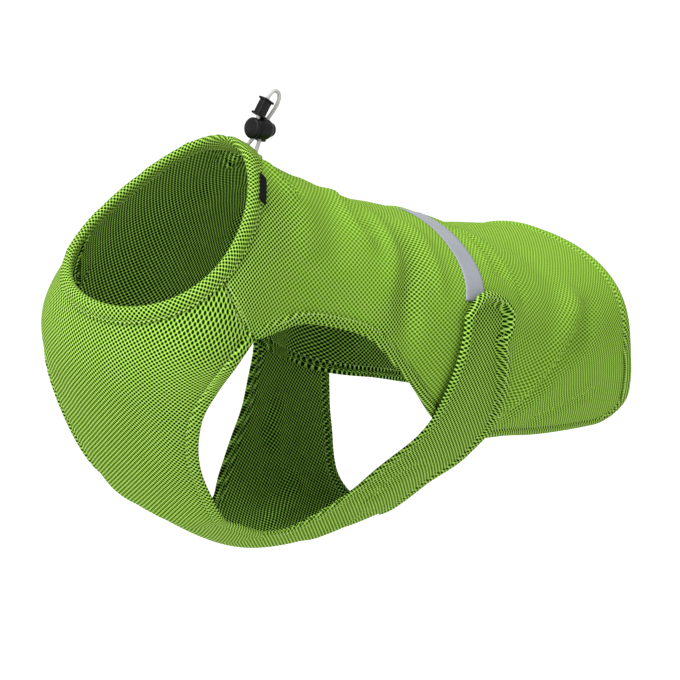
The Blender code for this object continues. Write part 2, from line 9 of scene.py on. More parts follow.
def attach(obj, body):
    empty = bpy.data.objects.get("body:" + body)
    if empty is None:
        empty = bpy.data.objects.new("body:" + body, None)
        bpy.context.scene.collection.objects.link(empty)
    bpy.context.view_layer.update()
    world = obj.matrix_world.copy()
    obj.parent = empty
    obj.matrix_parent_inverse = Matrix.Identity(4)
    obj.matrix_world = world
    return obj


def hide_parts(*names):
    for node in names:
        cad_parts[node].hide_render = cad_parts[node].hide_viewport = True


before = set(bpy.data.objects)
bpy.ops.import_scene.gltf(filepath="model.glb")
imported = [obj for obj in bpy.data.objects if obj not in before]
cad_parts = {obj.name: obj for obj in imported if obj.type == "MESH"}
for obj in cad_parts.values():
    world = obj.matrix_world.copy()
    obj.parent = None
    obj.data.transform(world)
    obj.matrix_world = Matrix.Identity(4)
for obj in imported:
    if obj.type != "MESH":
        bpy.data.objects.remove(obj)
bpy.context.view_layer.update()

# Dog cooling vest: lime spacer mesh, drawcord neck, two belly straps, silver tape across the back.
# Lengths are in millimetres and become metres when a mesh is made. An angle runs round the body from 0 at
# the back to 180 at the chest, positive on the left; a station runs from 0 at the neck to the tail.
mm = 0.001
left, right = 1, -1


# camera, as the photograph looks at the vest
view = {
    "target": (0.064, 0.0, -0.121),
    "distance": 1.8,
    "azimuth": -50.0,
    "elevation": 12.0,
    "roll": 14.0,  # the vest leans to the right in the picture
    "lens": 119.1,
}


def addCamera():
    turn, rise, lean = (math.radians(view[key]) for key in ("azimuth", "elevation", "roll"))
    back = Vector((math.sin(turn) * math.cos(rise), -math.cos(turn) * math.cos(rise), math.sin(rise)))
    level = (-back).cross(Vector((0, 0, 1))).normalized()
    upright = level.cross(-back)
    across = level * math.cos(lean) + upright * math.sin(lean)
    up = -level * math.sin(lean) + upright * math.cos(lean)
    place = Matrix((across, up, back)).transposed().to_4x4()
    place.translation = Vector(view["target"]) + back * view["distance"]
    data = bpy.data.cameras.new("camera")
    data.lens = view["lens"]
    data.sensor_width = 36.0
    camera = bpy.data.objects.new("camera", data)
    camera.matrix_world = place
    bpy.context.scene.collection.objects.link(camera)
    bpy.context.scene.camera = camera


addCamera()
print("camera placed")


# the hollow form: name, top x, top z, bottom x, bottom z, half width, egg, square, bow
sections = (
    ("neck edge", -113, 34, -212, -91, 64.5, -0.09, 0.00, -10),
    ("shoulder", -60, 15.5, -200, -151, 91, -0.14, 0.08, -2),
    ("withers", 0, 2, -130, -239, 109, -0.10, 0.15, 0),
    ("armpit", 60, -9, -90, -264, 109, 0.08, 0.13, 0),
    ("girth", 126, -13, -5, -291, 106, 0.25, 0.10, 0),
    ("strap", 183, -23, 94, -285, 102, 0.27, 0.05, 0),
    ("loin", 248, -23, 222, -253, 96, 0.26, 0.03, 0),
    ("rump", 316, -20, 357, -237, 91, 0.24, 0.01, 0),
    ("hem", 384, -18, 492, -221, 86, 0.22, 0.00, 0),
)
sectionNumbers = np.array([row[1:] for row in sections], float)

# cut edges, each row (station, angle)
cut = {
    "seamNeckAngle": 99.0,
    "seamGap": 0.45,
    "seamEnd": 1.14,
    "hem": {
        left: ((1.14, 100.6), (1.62, 79.0), (2.40, 70.8), (3.3, 77.5), (4.2, 88.9), (5.0, 98.0), (5.7, 108.0),
               (6.4, 116.5), (7.4, 118.5)),
        right: ((1.14, 107.5), (1.30, 116.5), (1.52, 113.0), (1.95, 100.5), (2.45, 88.5), (3.0, 82.0),
                (3.6, 84.0), (4.2, 90.5), (5.0, 99.0), (5.7, 108.0), (6.4, 116.5), (7.4, 118.5)),
    },
    "rearEdge": ((0.0, 6.66), (0.20, 6.76), (0.46, 6.82), (0.60, 6.92), (0.75, 7.14), (0.86, 7.28),
                 (1.0, 7.34)),
    "rearCorner": (0.84, 0.28),  # where it starts along the edge, how many stations it takes off
    "casingDepth": 12.0,
    "casingNape": 22.0,  # how much deeper the casing is at the nape
    "casingPower": 20,
    "panelStart": 0.76,  # share of the casing's depth where the panels begin inside it
    "stitchMargin": 0.6,
}


def curveThrough(rows, place):
    rows = np.asarray(rows, float)
    place = np.atleast_1d(np.asarray(place, float))
    padded = np.vstack([2 * rows[0] - rows[1], rows, 2 * rows[-1] - rows[-2]])
    first = np.clip(np.floor(place).astype(int), 0, len(rows) - 2)
    t = (place - first)[:, None]
    a, b, c, d = (padded[first + k] for k in range(4))
    return 0.5 * (2 * b + (c - a) * t + (2 * a - 5 * b + 4 * c - d) * t**2 + (3 * b - a - 3 * c + d) * t**3)


def edgeValue(rows, at):
    fine = curveThrough(rows, np.arange(24 * (len(rows) - 1) + 1) / 24)
    return np.interp(at, fine[:, 0], fine[:, 1])


def smoothStep(low, high, value):
    t = np.clip((value - low) / (high - low), 0.0, 1.0)
    return t * t * (3 - 2 * t)


def bell(value, width):
    return np.exp(-((value / width) ** 2))


def formPoint(station, angle):
    station, angle = np.broadcast_arrays(np.asarray(station, float), np.asarray(angle, float))
    topX, topZ, lowX, lowZ, half, egg, square, bow = curveThrough(sectionNumbers, station.ravel()).T
    turn = np.radians(angle.ravel())
    upX, upZ = (topX - lowX) / 2, (topZ - lowZ) / 2
    forward = bow * np.sin(turn) ** 2 / np.hypot(upX, upZ)
    x = (topX + lowX) / 2 + upX * np.cos(turn) - upZ * forward
    z = (topZ + lowZ) / 2 + upZ * np.cos(turn) + upX * forward
    y = -half * (np.sin(turn) + egg * np.sin(2 * turn) + square * np.sin(3 * turn))
    return np.stack([x, y, z], -1).reshape(*station.shape, 3)


def unit(vectors):
    return vectors / np.maximum(np.linalg.norm(vectors, axis=-1, keepdims=True), 1e-9)


def dot(first, second):
    return np.sum(first * second, axis=-1)


def formSteps(station, angle):  # how the form moves for one station and for one degree
    along = (formPoint(station + 0.01, angle) - formPoint(station - 0.01, angle)) / 0.02
    return along, formPoint(station, angle + 0.5) - formPoint(station, angle - 0.5)


def formNormal(station, angle):
    along, around = formSteps(station, angle)
    return unit(np.cross(around, along))


def above(station, angle, height):
    station, angle = np.asarray(station, float), np.asarray(angle, float)
    return formPoint(station, angle) + formNormal(station, angle) * np.asarray(height, float)[..., None]


def moved(station, angle, direction):  # stations and degrees that a small move on the form takes
    along, around = formSteps(station, angle)
    aa, ab, bb = dot(along, along), dot(along, around), dot(around, around)
    da, db = dot(along, direction), dot(around, direction)
    spread = aa * bb - ab**2
    return (da * bb - db * ab) / spread, (db * aa - da * ab) / spread


def stationAt(angle, distance):  # station that lies a distance from the neck edge
    angle = np.asarray(angle, float)
    step = np.linalg.norm(formPoint(0.25 + 0 * angle, angle) - formPoint(0 * angle, angle), axis=-1)
    return distance * 0.25 / step


def casingDepth(angle):
    towardNape = np.maximum(np.cos(np.radians(angle)), 0.0)
    return cut["casingDepth"] + cut["casingNape"] * towardNape ** cut["casingPower"]


def hemAngle(station, side):
    station = np.asarray(station, float)
    seamStation, seamAngle = cut["hem"][side][0]
    seam = cut["seamNeckAngle"] + station / seamStation * (seamAngle - cut["seamNeckAngle"])
    return np.where(station <= seamStation, seam, edgeValue(cut["hem"][side], station))


def eitherHemAngle(station, side):
    return np.where(side == left, hemAngle(station, left), hemAngle(station, right))


def rearStation(share):
    start, taken = cut["rearCorner"]
    into = np.clip((share - start) / (1 - start), 0.0, 1.0)
    return edgeValue(cut["rearEdge"], share) - taken * (1 - np.sqrt(1 - into**2))


# the cloth's threads run straight out from the centre line of a panel, so its map is marched over the form
def threadTable(centre, outward):
    starts = np.linspace(-0.5, 8.2, 90)
    stride, strides = 3.0, 165
    station, angle = starts.copy(), np.full_like(starts, centre)
    along, around = formSteps(station, angle)
    heading = unit(np.cross(along, np.cross(around, along))) * outward
    lengths = np.linalg.norm(np.diff(formPoint(starts, centre), axis=0), axis=1)
    centreLength = np.concatenate([[0.0], np.cumsum(lengths)])
    stations, turns = [station], [np.zeros_like(starts)]
    for _ in range(strides):
        normal = formNormal(station, angle)
        heading = unit(heading - normal * dot(heading, normal)[:, None])
        byStation, byAngle = moved(station, angle, heading * stride)
        station, angle = np.clip(station + byStation, -1.5, 9.2), angle + byAngle
        stations.append(station)
        turns.append(np.maximum(np.abs(angle - centre), turns[-1] + 1e-4))
    stations, turns = np.array(stations), np.array(turns)
    run = np.arange(strides + 1) * stride
    degrees, grid = np.arange(0, 150.0), np.linspace(-0.4, 8.0, 421)
    across, lengthwise = np.empty((150, 421)), np.empty((150, 421))
    for k, degree in enumerate(degrees):
        place = np.array([np.interp(degree, turns[:, i], stations[:, i]) for i in range(len(starts))])
        reach = np.array([np.interp(degree, turns[:, i], run) for i in range(len(starts))])
        order = np.argsort(place)
        across[k] = np.interp(grid, place[order], reach[order])
        lengthwise[k] = np.interp(grid, place[order], centreLength[order])
    return centre, across, lengthwise


def clothMap(table, station, angle):
    centre, across, lengthwise = table
    turn = np.clip(np.abs(np.abs(angle) - centre), 0, 148.999)
    place = np.clip((station + 0.4) / 0.02, 0, 419.999)
    i, j = turn.astype(int), place.astype(int)
    s, t = turn - i, place - j

    def at(values):
        near = values[i, j] * (1 - t) + values[i, j + 1] * t
        far = values[i + 1, j] * (1 - t) + values[i + 1, j + 1] * t
        return near * (1 - s) + far * s

    return at(across) * np.sign(angle) * mm, at(lengthwise) * mm


backThreads = threadTable(0.0, 1)
chestThreads = threadTable(180.0, -1)


# distances from a turned edge at which a sheet has lines
hemSteps = np.array((0.0, 0.4, 1.0, 1.9, 3.2, 5.0, 6.8, 8.1, 9.0, 9.9, 11.3, 13.5))
hemCount = len(hemSteps) - 1
hemZone = hemSteps[-1]
hemStitchLine = 8  # which of them lies in the groove
hem = {"wall": 4.6, "cloth": 2.0, "lift": 1.7, "width": 9.0, "groove": 1.1, "round": 2.5}


def hemSpacing(index, count):  # distance from the edge for a sheet's last lines
    return np.interp(count - index, np.arange(hemCount + 1), hemSteps)


def hemSection(away):  # outer face's height and the wall there, padded out to the stitched groove
    rim = np.sqrt(np.clip(1 - (1 - np.clip(away / hem["round"], 0, 1)) ** 2, 0.02, 1))
    folded = smoothStep(hem["width"] + 0.9, hem["width"] - 1.6, away)
    plump = 0.25 * np.sin(np.pi * np.clip(away / hem["width"], 0, 1))
    groove = hem["groove"] * bell(away - hem["width"], 0.95)
    middle = hem["lift"] - hem["wall"] / 2
    top = folded * (middle + hem["wall"] / 2 * rim + plump) - groove
    wall = hem["cloth"] + folded * (hem["wall"] * rim - hem["cloth"]) - groove
    return top, wall


def distanceToLine(points, line):  # distance, how far along, the line's direction and its nearest point
    best = np.full(len(points), 1e9)
    along = np.zeros(len(points))
    toward = np.zeros((len(points), 3))
    foot = np.zeros((len(points), 3))
    lengths = np.linalg.norm(np.diff(line, axis=0), axis=1)
    starts = np.concatenate([[0.0], np.cumsum(lengths)])
    for k, length in enumerate(lengths):
        direction = (line[k + 1] - line[k]) / max(length, 1e-9)
        t = np.clip((points - line[k]) @ direction, 0.0, length)
        near = line[k] + t[:, None] * direction
        gap = np.linalg.norm(points - near, axis=1)
        closer = gap < best
        best[closer] = gap[closer]
        along[closer] = (starts[k] + t[closer]) / starts[-1]
        toward[closer] = direction
        foot[closer] = near[closer]
    return best, along, toward, foot


def nearestOf(points, lines):
    return np.min([distanceToLine(points, line)[0] for line in lines], axis=0)


def formLine(places, steps=10):  # line on the form through (station, angle) places
    fine = curveThrough(places, np.arange(steps * (len(places) - 1) + 1) / steps)
    return formPoint(fine[:, 0], fine[:, 1])


def foldHeight(points, normals, fold):
    away, along, toward, foot = distanceToLine(points, formLine(fold["path"]))
    signed = away * np.sign(dot(np.cross(normals, toward), points - foot))
    start, end = fold.get("fade", (0.25, 0.3))
    strength = smoothStep(0.0, start, along) * (1 - smoothStep(1 - end, 1.0, along))
    width, apart = fold["width"] * (0.55 + 0.45 * strength), fold["apart"] / 2
    ridge, trough = fold["ridge"] * bell(signed - apart, width), fold["trough"] * bell(signed + apart, width)
    return (ridge - trough) * strength


def gridFrom(bm, points):  # a grid with its vertices on the points, and each vertex's row and column
    rows, columns = points.shape[0] - 1, points.shape[1] - 1
    made = bmesh.ops.create_grid(bm, x_segments=columns, y_segments=rows, size=0.5)["verts"]
    where = {v: (round((v.co.y + 0.5) * rows), round((v.co.x + 0.5) * columns)) for v in made}
    for vertex, place in where.items():
        vertex.co = points[place] * mm
    return where


def layMap(cloth, where, mapU, mapV):
    for face in {face for vertex in where for face in vertex.link_faces}:
        for loop in face.loops:
            loop[cloth].uv = (mapU[where[loop.vert]], mapV[where[loop.vert]])


# a cloth sheet: a grid put on the form, with its place on the cloth as its map, its wall as a weight, and its
# share of painted hole shade and post highlight
def laySheet(bm, station, angle, height, wall, maps, opened):
    openness = bm.verts.layers.float.get("open") or bm.verts.layers.float.new("open")
    weights = bm.verts.layers.deform.verify()
    cloth = bm.loops.layers.uv.verify()
    normals = formNormal(station, angle)
    points = formPoint(station, angle) + normals * height[..., None]
    where = gridFrom(bm, points)
    for vertex, place in where.items():
        vertex[weights][0] = float(np.clip(wall[place] / hem["wall"], 0.02, 1.0))
        vertex[openness] = float(opened[place])
    layMap(cloth, where, *maps)
    return points, normals


def finishObject(name, bm, finishes, smooth=True):
    mesh = bpy.data.meshes.new(name)
    bm.to_mesh(mesh)
    bm.free()
    made = bpy.data.objects.new(name, mesh)
    bpy.context.scene.collection.objects.link(made)
    for finish in finishes:
        mesh.materials.append(finish)
    if smooth:
        mesh.shade_smooth()
    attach(made, "root")
    return made


def finishCloth(name, bm, finishes):
    bmesh.ops.remove_doubles(bm, verts=bm.verts, dist=0.02 * mm)
    bmesh.ops.recalc_face_normals(bm, faces=bm.faces)
    made = finishObject(name, bm, finishes)
    made.vertex_groups.new(name="wall")
    wall = made.modifiers.new("wall", "SOLIDIFY")
    wall.thickness = hem["wall"] * mm
    wall.vertex_group = "wall"
    wall.offset = -1.0
    wall.use_quality_normals = True
    wall.material_offset = 1 if len(finishes) > 1 else 0
    return made


# stitches: small rounded grains along a line, joined in one mesh for each panel
stitch = {"length": 2.7, "spacing": 3.5, "wide": 0.62, "high": 0.5, "sunk": 0.05}


def stitchLine(bm, points, normals, depth=0.0, spacing=None):
    spacing = spacing or stitch["spacing"]
    points = points - normals * (depth + stitch["sunk"])
    lengths = np.concatenate([[0.0], np.cumsum(np.linalg.norm(np.diff(points, axis=0), axis=1))])
    size = Matrix.Diagonal((stitch["length"] * mm / 2, stitch["wide"] * mm / 2, stitch["high"] * mm / 2, 1))
    places = []
    for at in np.arange(spacing / 2, lengths[-1] - spacing / 3, spacing):
        centre, before, after, up = (
            np.array([np.interp(at + by, lengths, values[:, k]) for k in range(3)])
            for by, values in ((0, points), (-1, points), (1, points), (0, normals)))
        along = Vector(after - before).normalized()
        across = Vector(up).cross(along).normalized()
        turned = Matrix((along, across, along.cross(across))).transposed().to_4x4()
        places.append(Matrix.Translation(Vector(centre) * mm) @ turned @ size)
    for first in range(0, len(places), 40):  # a few at a time, which is much quicker
        few = bmesh.new()
        for place in places[first : first + 40]:
            bmesh.ops.create_uvsphere(few, u_segments=6, v_segments=4, radius=1.0, matrix=place)
        grains = bpy.data.meshes.new("grains")
        few.to_mesh(grains)
        few.free()
        bm.from_mesh(grains)
        bpy.data.meshes.remove(grains)


def stitchBothFaces(bm, points, normals, wall):
    stitchLine(bm, points, normals)
    stitchLine(bm, points, normals, wall[:, None] - 0.1)


# back panel
backPanelSize = {"columns": 76, "neckRows": 3, "rows": 118}
# a fold dips on one side of its path and swells on the other, and fades out at its ends. The distance
# between dip and swell is apart, and its sign says which lies where. All but a single fold come again,
# softer, on the right
backFolds = (
    {"path": ((0.40, 12), (0.52, 18), (0.74, 27), (1.02, 34)), "width": 5,
     "trough": 6.0, "ridge": 4.0, "apart": -10},
    {"path": ((1.20, 20), (1.30, 40), (1.50, 60)), "width": 14, "trough": 2.2, "ridge": 2.2, "apart": -30},
    {"path": ((2.06, 2), (1.88, 23.5), (2.25, 40)), "width": 9, "trough": 5.5, "ridge": 3.6, "apart": -16},
    {"path": ((2.62, 8), (2.69, 46.5), (2.90, 60), (3.40, 74)), "width": 11,
     "trough": 5.5, "ridge": 0.0, "apart": 0},
    {"path": ((2.40, 10), (2.42, 40), (2.55, 58)), "width": 10, "trough": 0.0, "ridge": 3.0, "apart": 0},
    {"path": ((3.00, 8), (3.05, 34), (3.25, 52)), "width": 9, "trough": 0.0, "ridge": 3.2, "apart": 0},
    {"path": ((3.79, 1), (3.86, -8), (3.88, -20), (3.86, -32), (3.78, -44)), "width": 14,
     "trough": 4.5, "ridge": 0.0, "apart": 0, "fade": (0.16, 0.3), "single": True},
    {"path": ((4.02, 8), (4.05, 24), (4.10, 44)), "width": 6, "trough": 4.2, "ridge": 3.0, "apart": -11},
    {"path": ((4.42, 6), (4.50, 26), (4.62, 50)), "width": 7, "trough": 4.4, "ridge": 3.2, "apart": -13},
    {"path": ((5.20, 10), (5.25, 30), (5.40, 50)), "width": 14, "trough": 1.4, "ridge": 1.4, "apart": -28},
    {"path": ((6.05, 36), (5.92, 50), (5.74, 64), (5.60, 76), (5.46, 90), (5.36, 98)), "width": 13,
     "trough": 10.5, "ridge": 7.5, "apart": -25},
    {"path": ((6.72, 88), (6.40, 97), (5.90, 105)), "width": 7, "trough": 3.6, "ridge": 2.4, "apart": -12},
)


def backPlaces():
    half, inner = backPanelSize["columns"] // 2 + hemCount, backPanelSize["columns"] // 2
    length = backPanelSize["rows"] + hemCount
    offset, row = np.meshgrid(np.arange(-half, half + 1.0), np.arange(length + 1.0))
    side = np.where(offset < 0, right, left)
    size = np.abs(offset)
    angle = offset / half * cut["seamNeckAngle"]
    share = size / half
    for _ in range(7):
        start = stationAt(angle, casingDepth(angle) * cut["panelStart"])
        rear = rearStation(share)
        perMm = 0.2 / np.linalg.norm(formPoint(rear, angle) - formPoint(rear - 0.2, angle), axis=-1)
        whole = rear - perMm * hemZone
        within = start + (whole - start) * row / backPanelSize["rows"]
        station = np.where(row > backPanelSize["rows"], rear - perMm * hemSpacing(row, length), within)
        edge = eitherHemAngle(station, side)
        perMm = 1 / np.linalg.norm(formSteps(station, edge * side)[1], axis=-1)
        whole = (edge - perMm * hemZone) * size / inner
        angle = side * np.where(size > inner, edge - perMm * hemSpacing(size, half), whole)
        share = np.clip(np.abs(angle) / edge, 0, 1)
    return station, angle


backStation, backAngle = backPlaces()
seamLines = []
backEdges = [formPoint(backStation[-1], backAngle[-1])]
for column in (0, -1):
    kept = backStation[:, column] >= cut["seamEnd"]
    edgeLine = formPoint(backStation[:, column], backAngle[:, column])
    backEdges.append(edgeLine[kept])
    seamLines.append(edgeLine[~kept])


farSide = {"later": 0.03, "inward": 0.96, "softer": 0.75}  # how a fold on the right differs from the left one

# the folds die away under the straps' ends
underStrap = ((4.05, 45), (4.05, 56), (4.22, 64), (4.40, 73), (4.61, 83), (4.77, 94), (4.79, 106))
underStraps = [formLine([(s, side * a) for s, a in underStrap], 4) for side in (left, right)]


def backHeight(station, angle):
    shape = station.shape
    points, normals = formPoint(station, angle).reshape(-1, 3), formNormal(station, angle).reshape(-1, 3)
    away = nearestOf(points, backEdges)
    top, wall = hemSection(away)
    started = smoothStep(cut["seamEnd"] - 0.05, cut["seamEnd"] + 0.05, station.ravel())
    top, wall = top * started, hem["cloth"] + (wall - hem["cloth"]) * started
    seamAway = nearestOf(points, seamLines)
    top -= 1.3 * bell(seamAway, 1.7) * (1 - started)
    clear = smoothStep(2.0, 16.0, away) * smoothStep(0.0, 14.0, seamAway)
    clear *= smoothStep(22.0, 38.0, nearestOf(points, underStraps))
    for fold in backFolds:
        top += foldHeight(points, normals, fold) * clear
        if fold.get("single"):
            continue
        path = [(s + farSide["later"], -farSide["inward"] * a) for s, a in fold["path"]]
        mirrored = dict(fold, path=path, apart=-fold["apart"])
        top += farSide["softer"] * foldHeight(points, normals, mirrored) * clear
    return top.reshape(shape), wall.reshape(shape)


# how deep the shade painted into the mesh's holes and how bright the highlight painted on its posts, 0 to 1:
# on the ridge, and what other places add to it
openHoles = {
    "ridge": 0.30,
    "sides": 0.20,
    "lower": 0.20,
    "neck": 0.45,
    "fold": {"station": 2.72, "reach": 0.28, "more": 0.45},
    "belly": 0.12,  # taken off the chest's there, and given back up the strap
}


# share of painted hole shade and post highlight over the back panel
def backPaintedLight(station, angle):
    away = nearestOf(formPoint(station, angle).reshape(-1, 3), backEdges).reshape(station.shape)
    size = np.abs(angle)
    fold = openHoles["fold"]
    opened = openHoles["ridge"] + openHoles["sides"] * smoothStep(25, 60, size)
    opened += openHoles["lower"] * smoothStep(75, 100, size)
    opened += fold["more"] * bell(station - fold["station"], fold["reach"]) * smoothStep(12, 30, size)
    opened += openHoles["neck"] * smoothStep(1.5, 0.5, station) * smoothStep(22, 45, size)
    hemmed = smoothStep(hem["width"] + 1.5, hem["width"] - 1.0, away) * smoothStep(30, 80, size)
    return opened + (1.0 - opened) * hemmed


# share of painted hole shade and post highlight over the chest panel and straps
def chestPaintedLight(station, angle, upStrap):
    towardBelly = smoothStep(1.6, 2.6, station)
    return 1.0 + openHoles["belly"] * (upStrap * smoothStep(130, 100, np.abs(angle)) - towardBelly)


def backPanel(outside, inside):
    bm = bmesh.new()
    top, wall = backHeight(backStation, backAngle)
    maps = clothMap(backThreads, backStation, backAngle)
    opened = backPaintedLight(backStation, backAngle)
    points, normals = laySheet(bm, backStation, backAngle, top, wall, maps, opened)
    made = finishCloth("backPanel", bm, (outside, inside))
    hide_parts("back_panel")
    return made, points, normals, wall


def backStitches(points, normals, wall, finish):
    bm = bmesh.new()
    groove = hemStitchLine
    hemRows = backStation[:, 0] > cut["seamEnd"] + 0.03
    rearRow = len(points) - 1 - groove
    lines = [(hemRows, column) for column in (groove, -1 - groove)]
    lines.append((rearRow, slice(groove, -groove)))
    for place in lines:
        stitchBothFaces(bm, points[place], normals[place], wall[place])
    seamRows = (backStation[:, 0] > 0.30) & (backStation[:, 0] < cut["seamEnd"] - 0.04)
    for column in (3, -4):
        stitchLine(bm, points[seamRows, column], normals[seamRows, column])
    return finishObject("backStitches", bm, (finish,))


# tape across the back, sewn flat on it
tape = {
    "centre": ((-48.0, 3.72), (-34.0, 3.82), (-22.0, 3.87), (-10.0, 3.86), (0.0, 3.79), (12.0, 3.66),
               (26.0, 3.58), (48.0, 3.66)),
    "halfAngle": 47.0,
    "width": 20.0,
    "thick": 0.5,
    "clear": 0.35,
}


def thicken(made, thickness):
    thick = made.modifiers.new("thick", "SOLIDIFY")
    thick.thickness = thickness * mm
    thick.offset = -1.0


def reflectiveTape(finish):
    bm = bmesh.new()
    lengthwise = np.linspace(-tape["halfAngle"], tape["halfAngle"], 121)
    angle, share = np.meshgrid(lengthwise, np.linspace(-0.5, 0.5, 13))
    centre = edgeValue(tape["centre"], angle)
    perMm = 1 / np.linalg.norm(formSteps(centre, angle)[0], axis=-1)
    station = centre + share * tape["width"] * perMm
    top, _ = backHeight(station, angle)
    edge = 0.35 * bell(np.abs(share) - 0.5, 0.05)
    height = top + tape["clear"] + tape["thick"] - edge
    gridFrom(bm, above(station, angle, height))
    bmesh.ops.recalc_face_normals(bm, faces=bm.faces)
    made = finishObject("reflectiveTape", bm, (finish,))
    thicken(made, tape["thick"])
    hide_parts("reflective_tape")
    return made


# chest panel: rows of (station at the centre, station at the edge, edge angle) along the armhole
chest = {
    "columns": 30,
    "neckRows": 3,
    "seamRows": 18,
    "armRows": 84,
    "centreAtSeamEnd": 0.88,
    "armhole": {
        left: ((0.88, 1.14, 101.05), (0.97, 1.142, 112.5), (1.09, 1.175, 125.5), (1.33, 1.30, 138.0),
               (1.74, 1.57, 147.2), (2.20, 1.93, 149.6), (2.66, 2.40, 148.8), (3.13, 3.02, 147.4),
               (3.60, 3.58, 145.6)),
        right: ((0.88, 1.14, 107.95), (0.97, 1.28, 117.0), (1.09, 1.32, 128.0), (1.33, 1.38, 140.0),
                (1.74, 1.60, 149.5), (2.20, 2.05, 154.5), (2.66, 2.55, 156.2), (3.13, 3.12, 156.0),
                (3.60, 3.66, 154.5)),
    },
    "mitre": 12,  # rows over which the hem turns the corner at the shoulder seam
}
chestFolds = (
    {"path": ((1.15, 150), (1.55, 166), (1.75, 180)), "width": 15, "trough": 1.2, "ridge": 1.0, "apart": 30},
    {"path": ((2.45, 180), (2.75, 168), (3.05, 158)), "width": 12, "trough": 2.2, "ridge": 1.8, "apart": 24},
    {"path": ((4.45, 162), (4.85, 148), (4.80, 134)), "width": 9, "trough": 3.4, "ridge": 2.6, "apart": 18},
    {"path": ((4.72, 132), (4.60, 118), (4.72, 104)), "width": 8, "trough": 2.6, "ridge": 2.0, "apart": 15},
)


def chestPlaces(side):
    neckRows, seamRows, armRows = chest["neckRows"], chest["seamRows"], chest["armRows"]
    rows = np.array(chest["armhole"][side])
    seamAngle = cut["seamNeckAngle"] + cut["seamGap"]
    firstEdge = float(stationAt(seamAngle, casingDepth(seamAngle) + cut["stitchMargin"]))
    firstCentre = float(stationAt(180.0, casingDepth(180.0) + cut["stitchMargin"]))
    topEdge = float(stationAt(seamAngle, casingDepth(seamAngle) * cut["panelStart"]))
    topCentre = float(stationAt(180.0, casingDepth(180.0) * cut["panelStart"]))
    neck = np.linspace(0, 1, neckRows + 1)[:-1, None]
    seam = np.linspace(0, 1, seamRows + 1)[:-1, None]
    seamEnds = (chest["centreAtSeamEnd"], cut["seamEnd"])
    ends = np.array([(topCentre, topEdge), (firstCentre, firstEdge), seamEnds])
    upper = np.vstack([ends[0] + (ends[1] - ends[0]) * neck, ends[1] + (ends[2] - ends[1]) * seam])
    arm = curveThrough(rows, np.linspace(0, len(rows) - 1, armRows + 1))
    centre = np.concatenate([upper[:, 0], arm[:, 0]])
    edge = np.concatenate([upper[:, 1], arm[:, 1]])
    edgeAngle = np.concatenate([hemAngle(upper[:, 1], side) + cut["seamGap"], arm[:, 2]])
    # the turned hem's lines run beside the edge, so its inner line is a step in from it
    line = formPoint(edge, edgeAngle)
    toward = unit(np.diff(line, axis=0))
    toward = np.vstack([toward[:1], toward[:-1] + toward[1:], toward[-1:]])
    normal = formNormal(edge, edgeAngle)
    inward = unit(np.cross(toward, normal))
    corner = neckRows + seamRows
    reach = chest["mitre"]
    index = np.arange(len(inward))
    fromSeam, fromArm = inward[np.minimum(index, corner - 2)], inward[np.maximum(index, corner + 2)]
    seamPart = 1 - smoothStep(corner, corner + reach, index)
    armPart = smoothStep(corner - reach, corner, index)
    direction = fromSeam * seamPart[:, None] + fromArm * armPart[:, None]
    byStation, byAngle = moved(edge, edgeAngle, direction)
    inStation, inAngle = edge + byStation * hemZone, edgeAngle + byAngle * hemZone
    column = np.arange(chest["columns"] + hemCount + 1.0)
    share = np.clip(column / chest["columns"], 0, 1)[None]
    station = centre[:, None] + (inStation - centre)[:, None] * share**2
    angle = 180.0 - share * (180.0 - inAngle[:, None])
    back = hemSpacing(column, chest["columns"] + hemCount)[None]
    late = column[None] > chest["columns"]
    station = np.where(late, edge[:, None] + byStation[:, None] * back, station)
    angle = np.where(late, edgeAngle[:, None] + byAngle[:, None] * back, angle)
    # the first rows follow the casing round the neck
    reference = station[neckRows].copy()
    for k in range(neckRows + 7):
        share = min(k / neckRows, 1.0)
        depth = casingDepth(angle[k])
        distance = depth * cut["panelStart"] * (1 - share) + share * (depth + cut["stitchMargin"])
        free = np.clip((k - neckRows) / 7.0, 0, 1)
        level = stationAt(angle[k], distance)
        station[k] = level if k <= neckRows else station[k] + (level - reference) * (1 - free)
    return station, side * angle


# belly strap, from the belly to its round tip, rows of (station, angle) along its front and rear edges
strap = {
    "front": {
        left: ((3.58, 145.6), (3.87, 140.0), (4.04, 130.5), (4.20, 119.0), (4.21, 105.0), (4.19, 91.0),
               (3.99, 79.5), (3.81, 70.0), (3.66, 61.5), (3.53, 53.5)),
        right: ((3.66, 154.5), (4.00, 149.0), (4.08, 136.0), (4.14, 121.5), (4.21, 106.5), (4.22, 92.0),
                (3.99, 79.5), (3.81, 70.0), (3.66, 61.5), (3.53, 53.5)),
    },
    "rear": ((5.44, 158.0), (5.38, 145.0), (5.36, 133.0), (5.36, 120.0), (5.36, 108.0), (5.32, 97.0),
             (5.17, 86.0), (4.95, 76.0), (4.68, 67.0), (4.37, 58.5)),
    "rearCentre": 5.60,
    "lift": 4.6,  # outer face above the back panel's
    "rise": (7.0, 26.0),  # degrees outside the back panel's hem where it lifts
    "tip": {"reach": 13.5, "lean": -0.01, "roundness": 2.3},
    "rows": 64,
    "columns": 24,
    "tipRows": 26,
    "recess": 4.2,  # how far the middle of the tip sinks inside its rim
    "rim": 3.0,
}


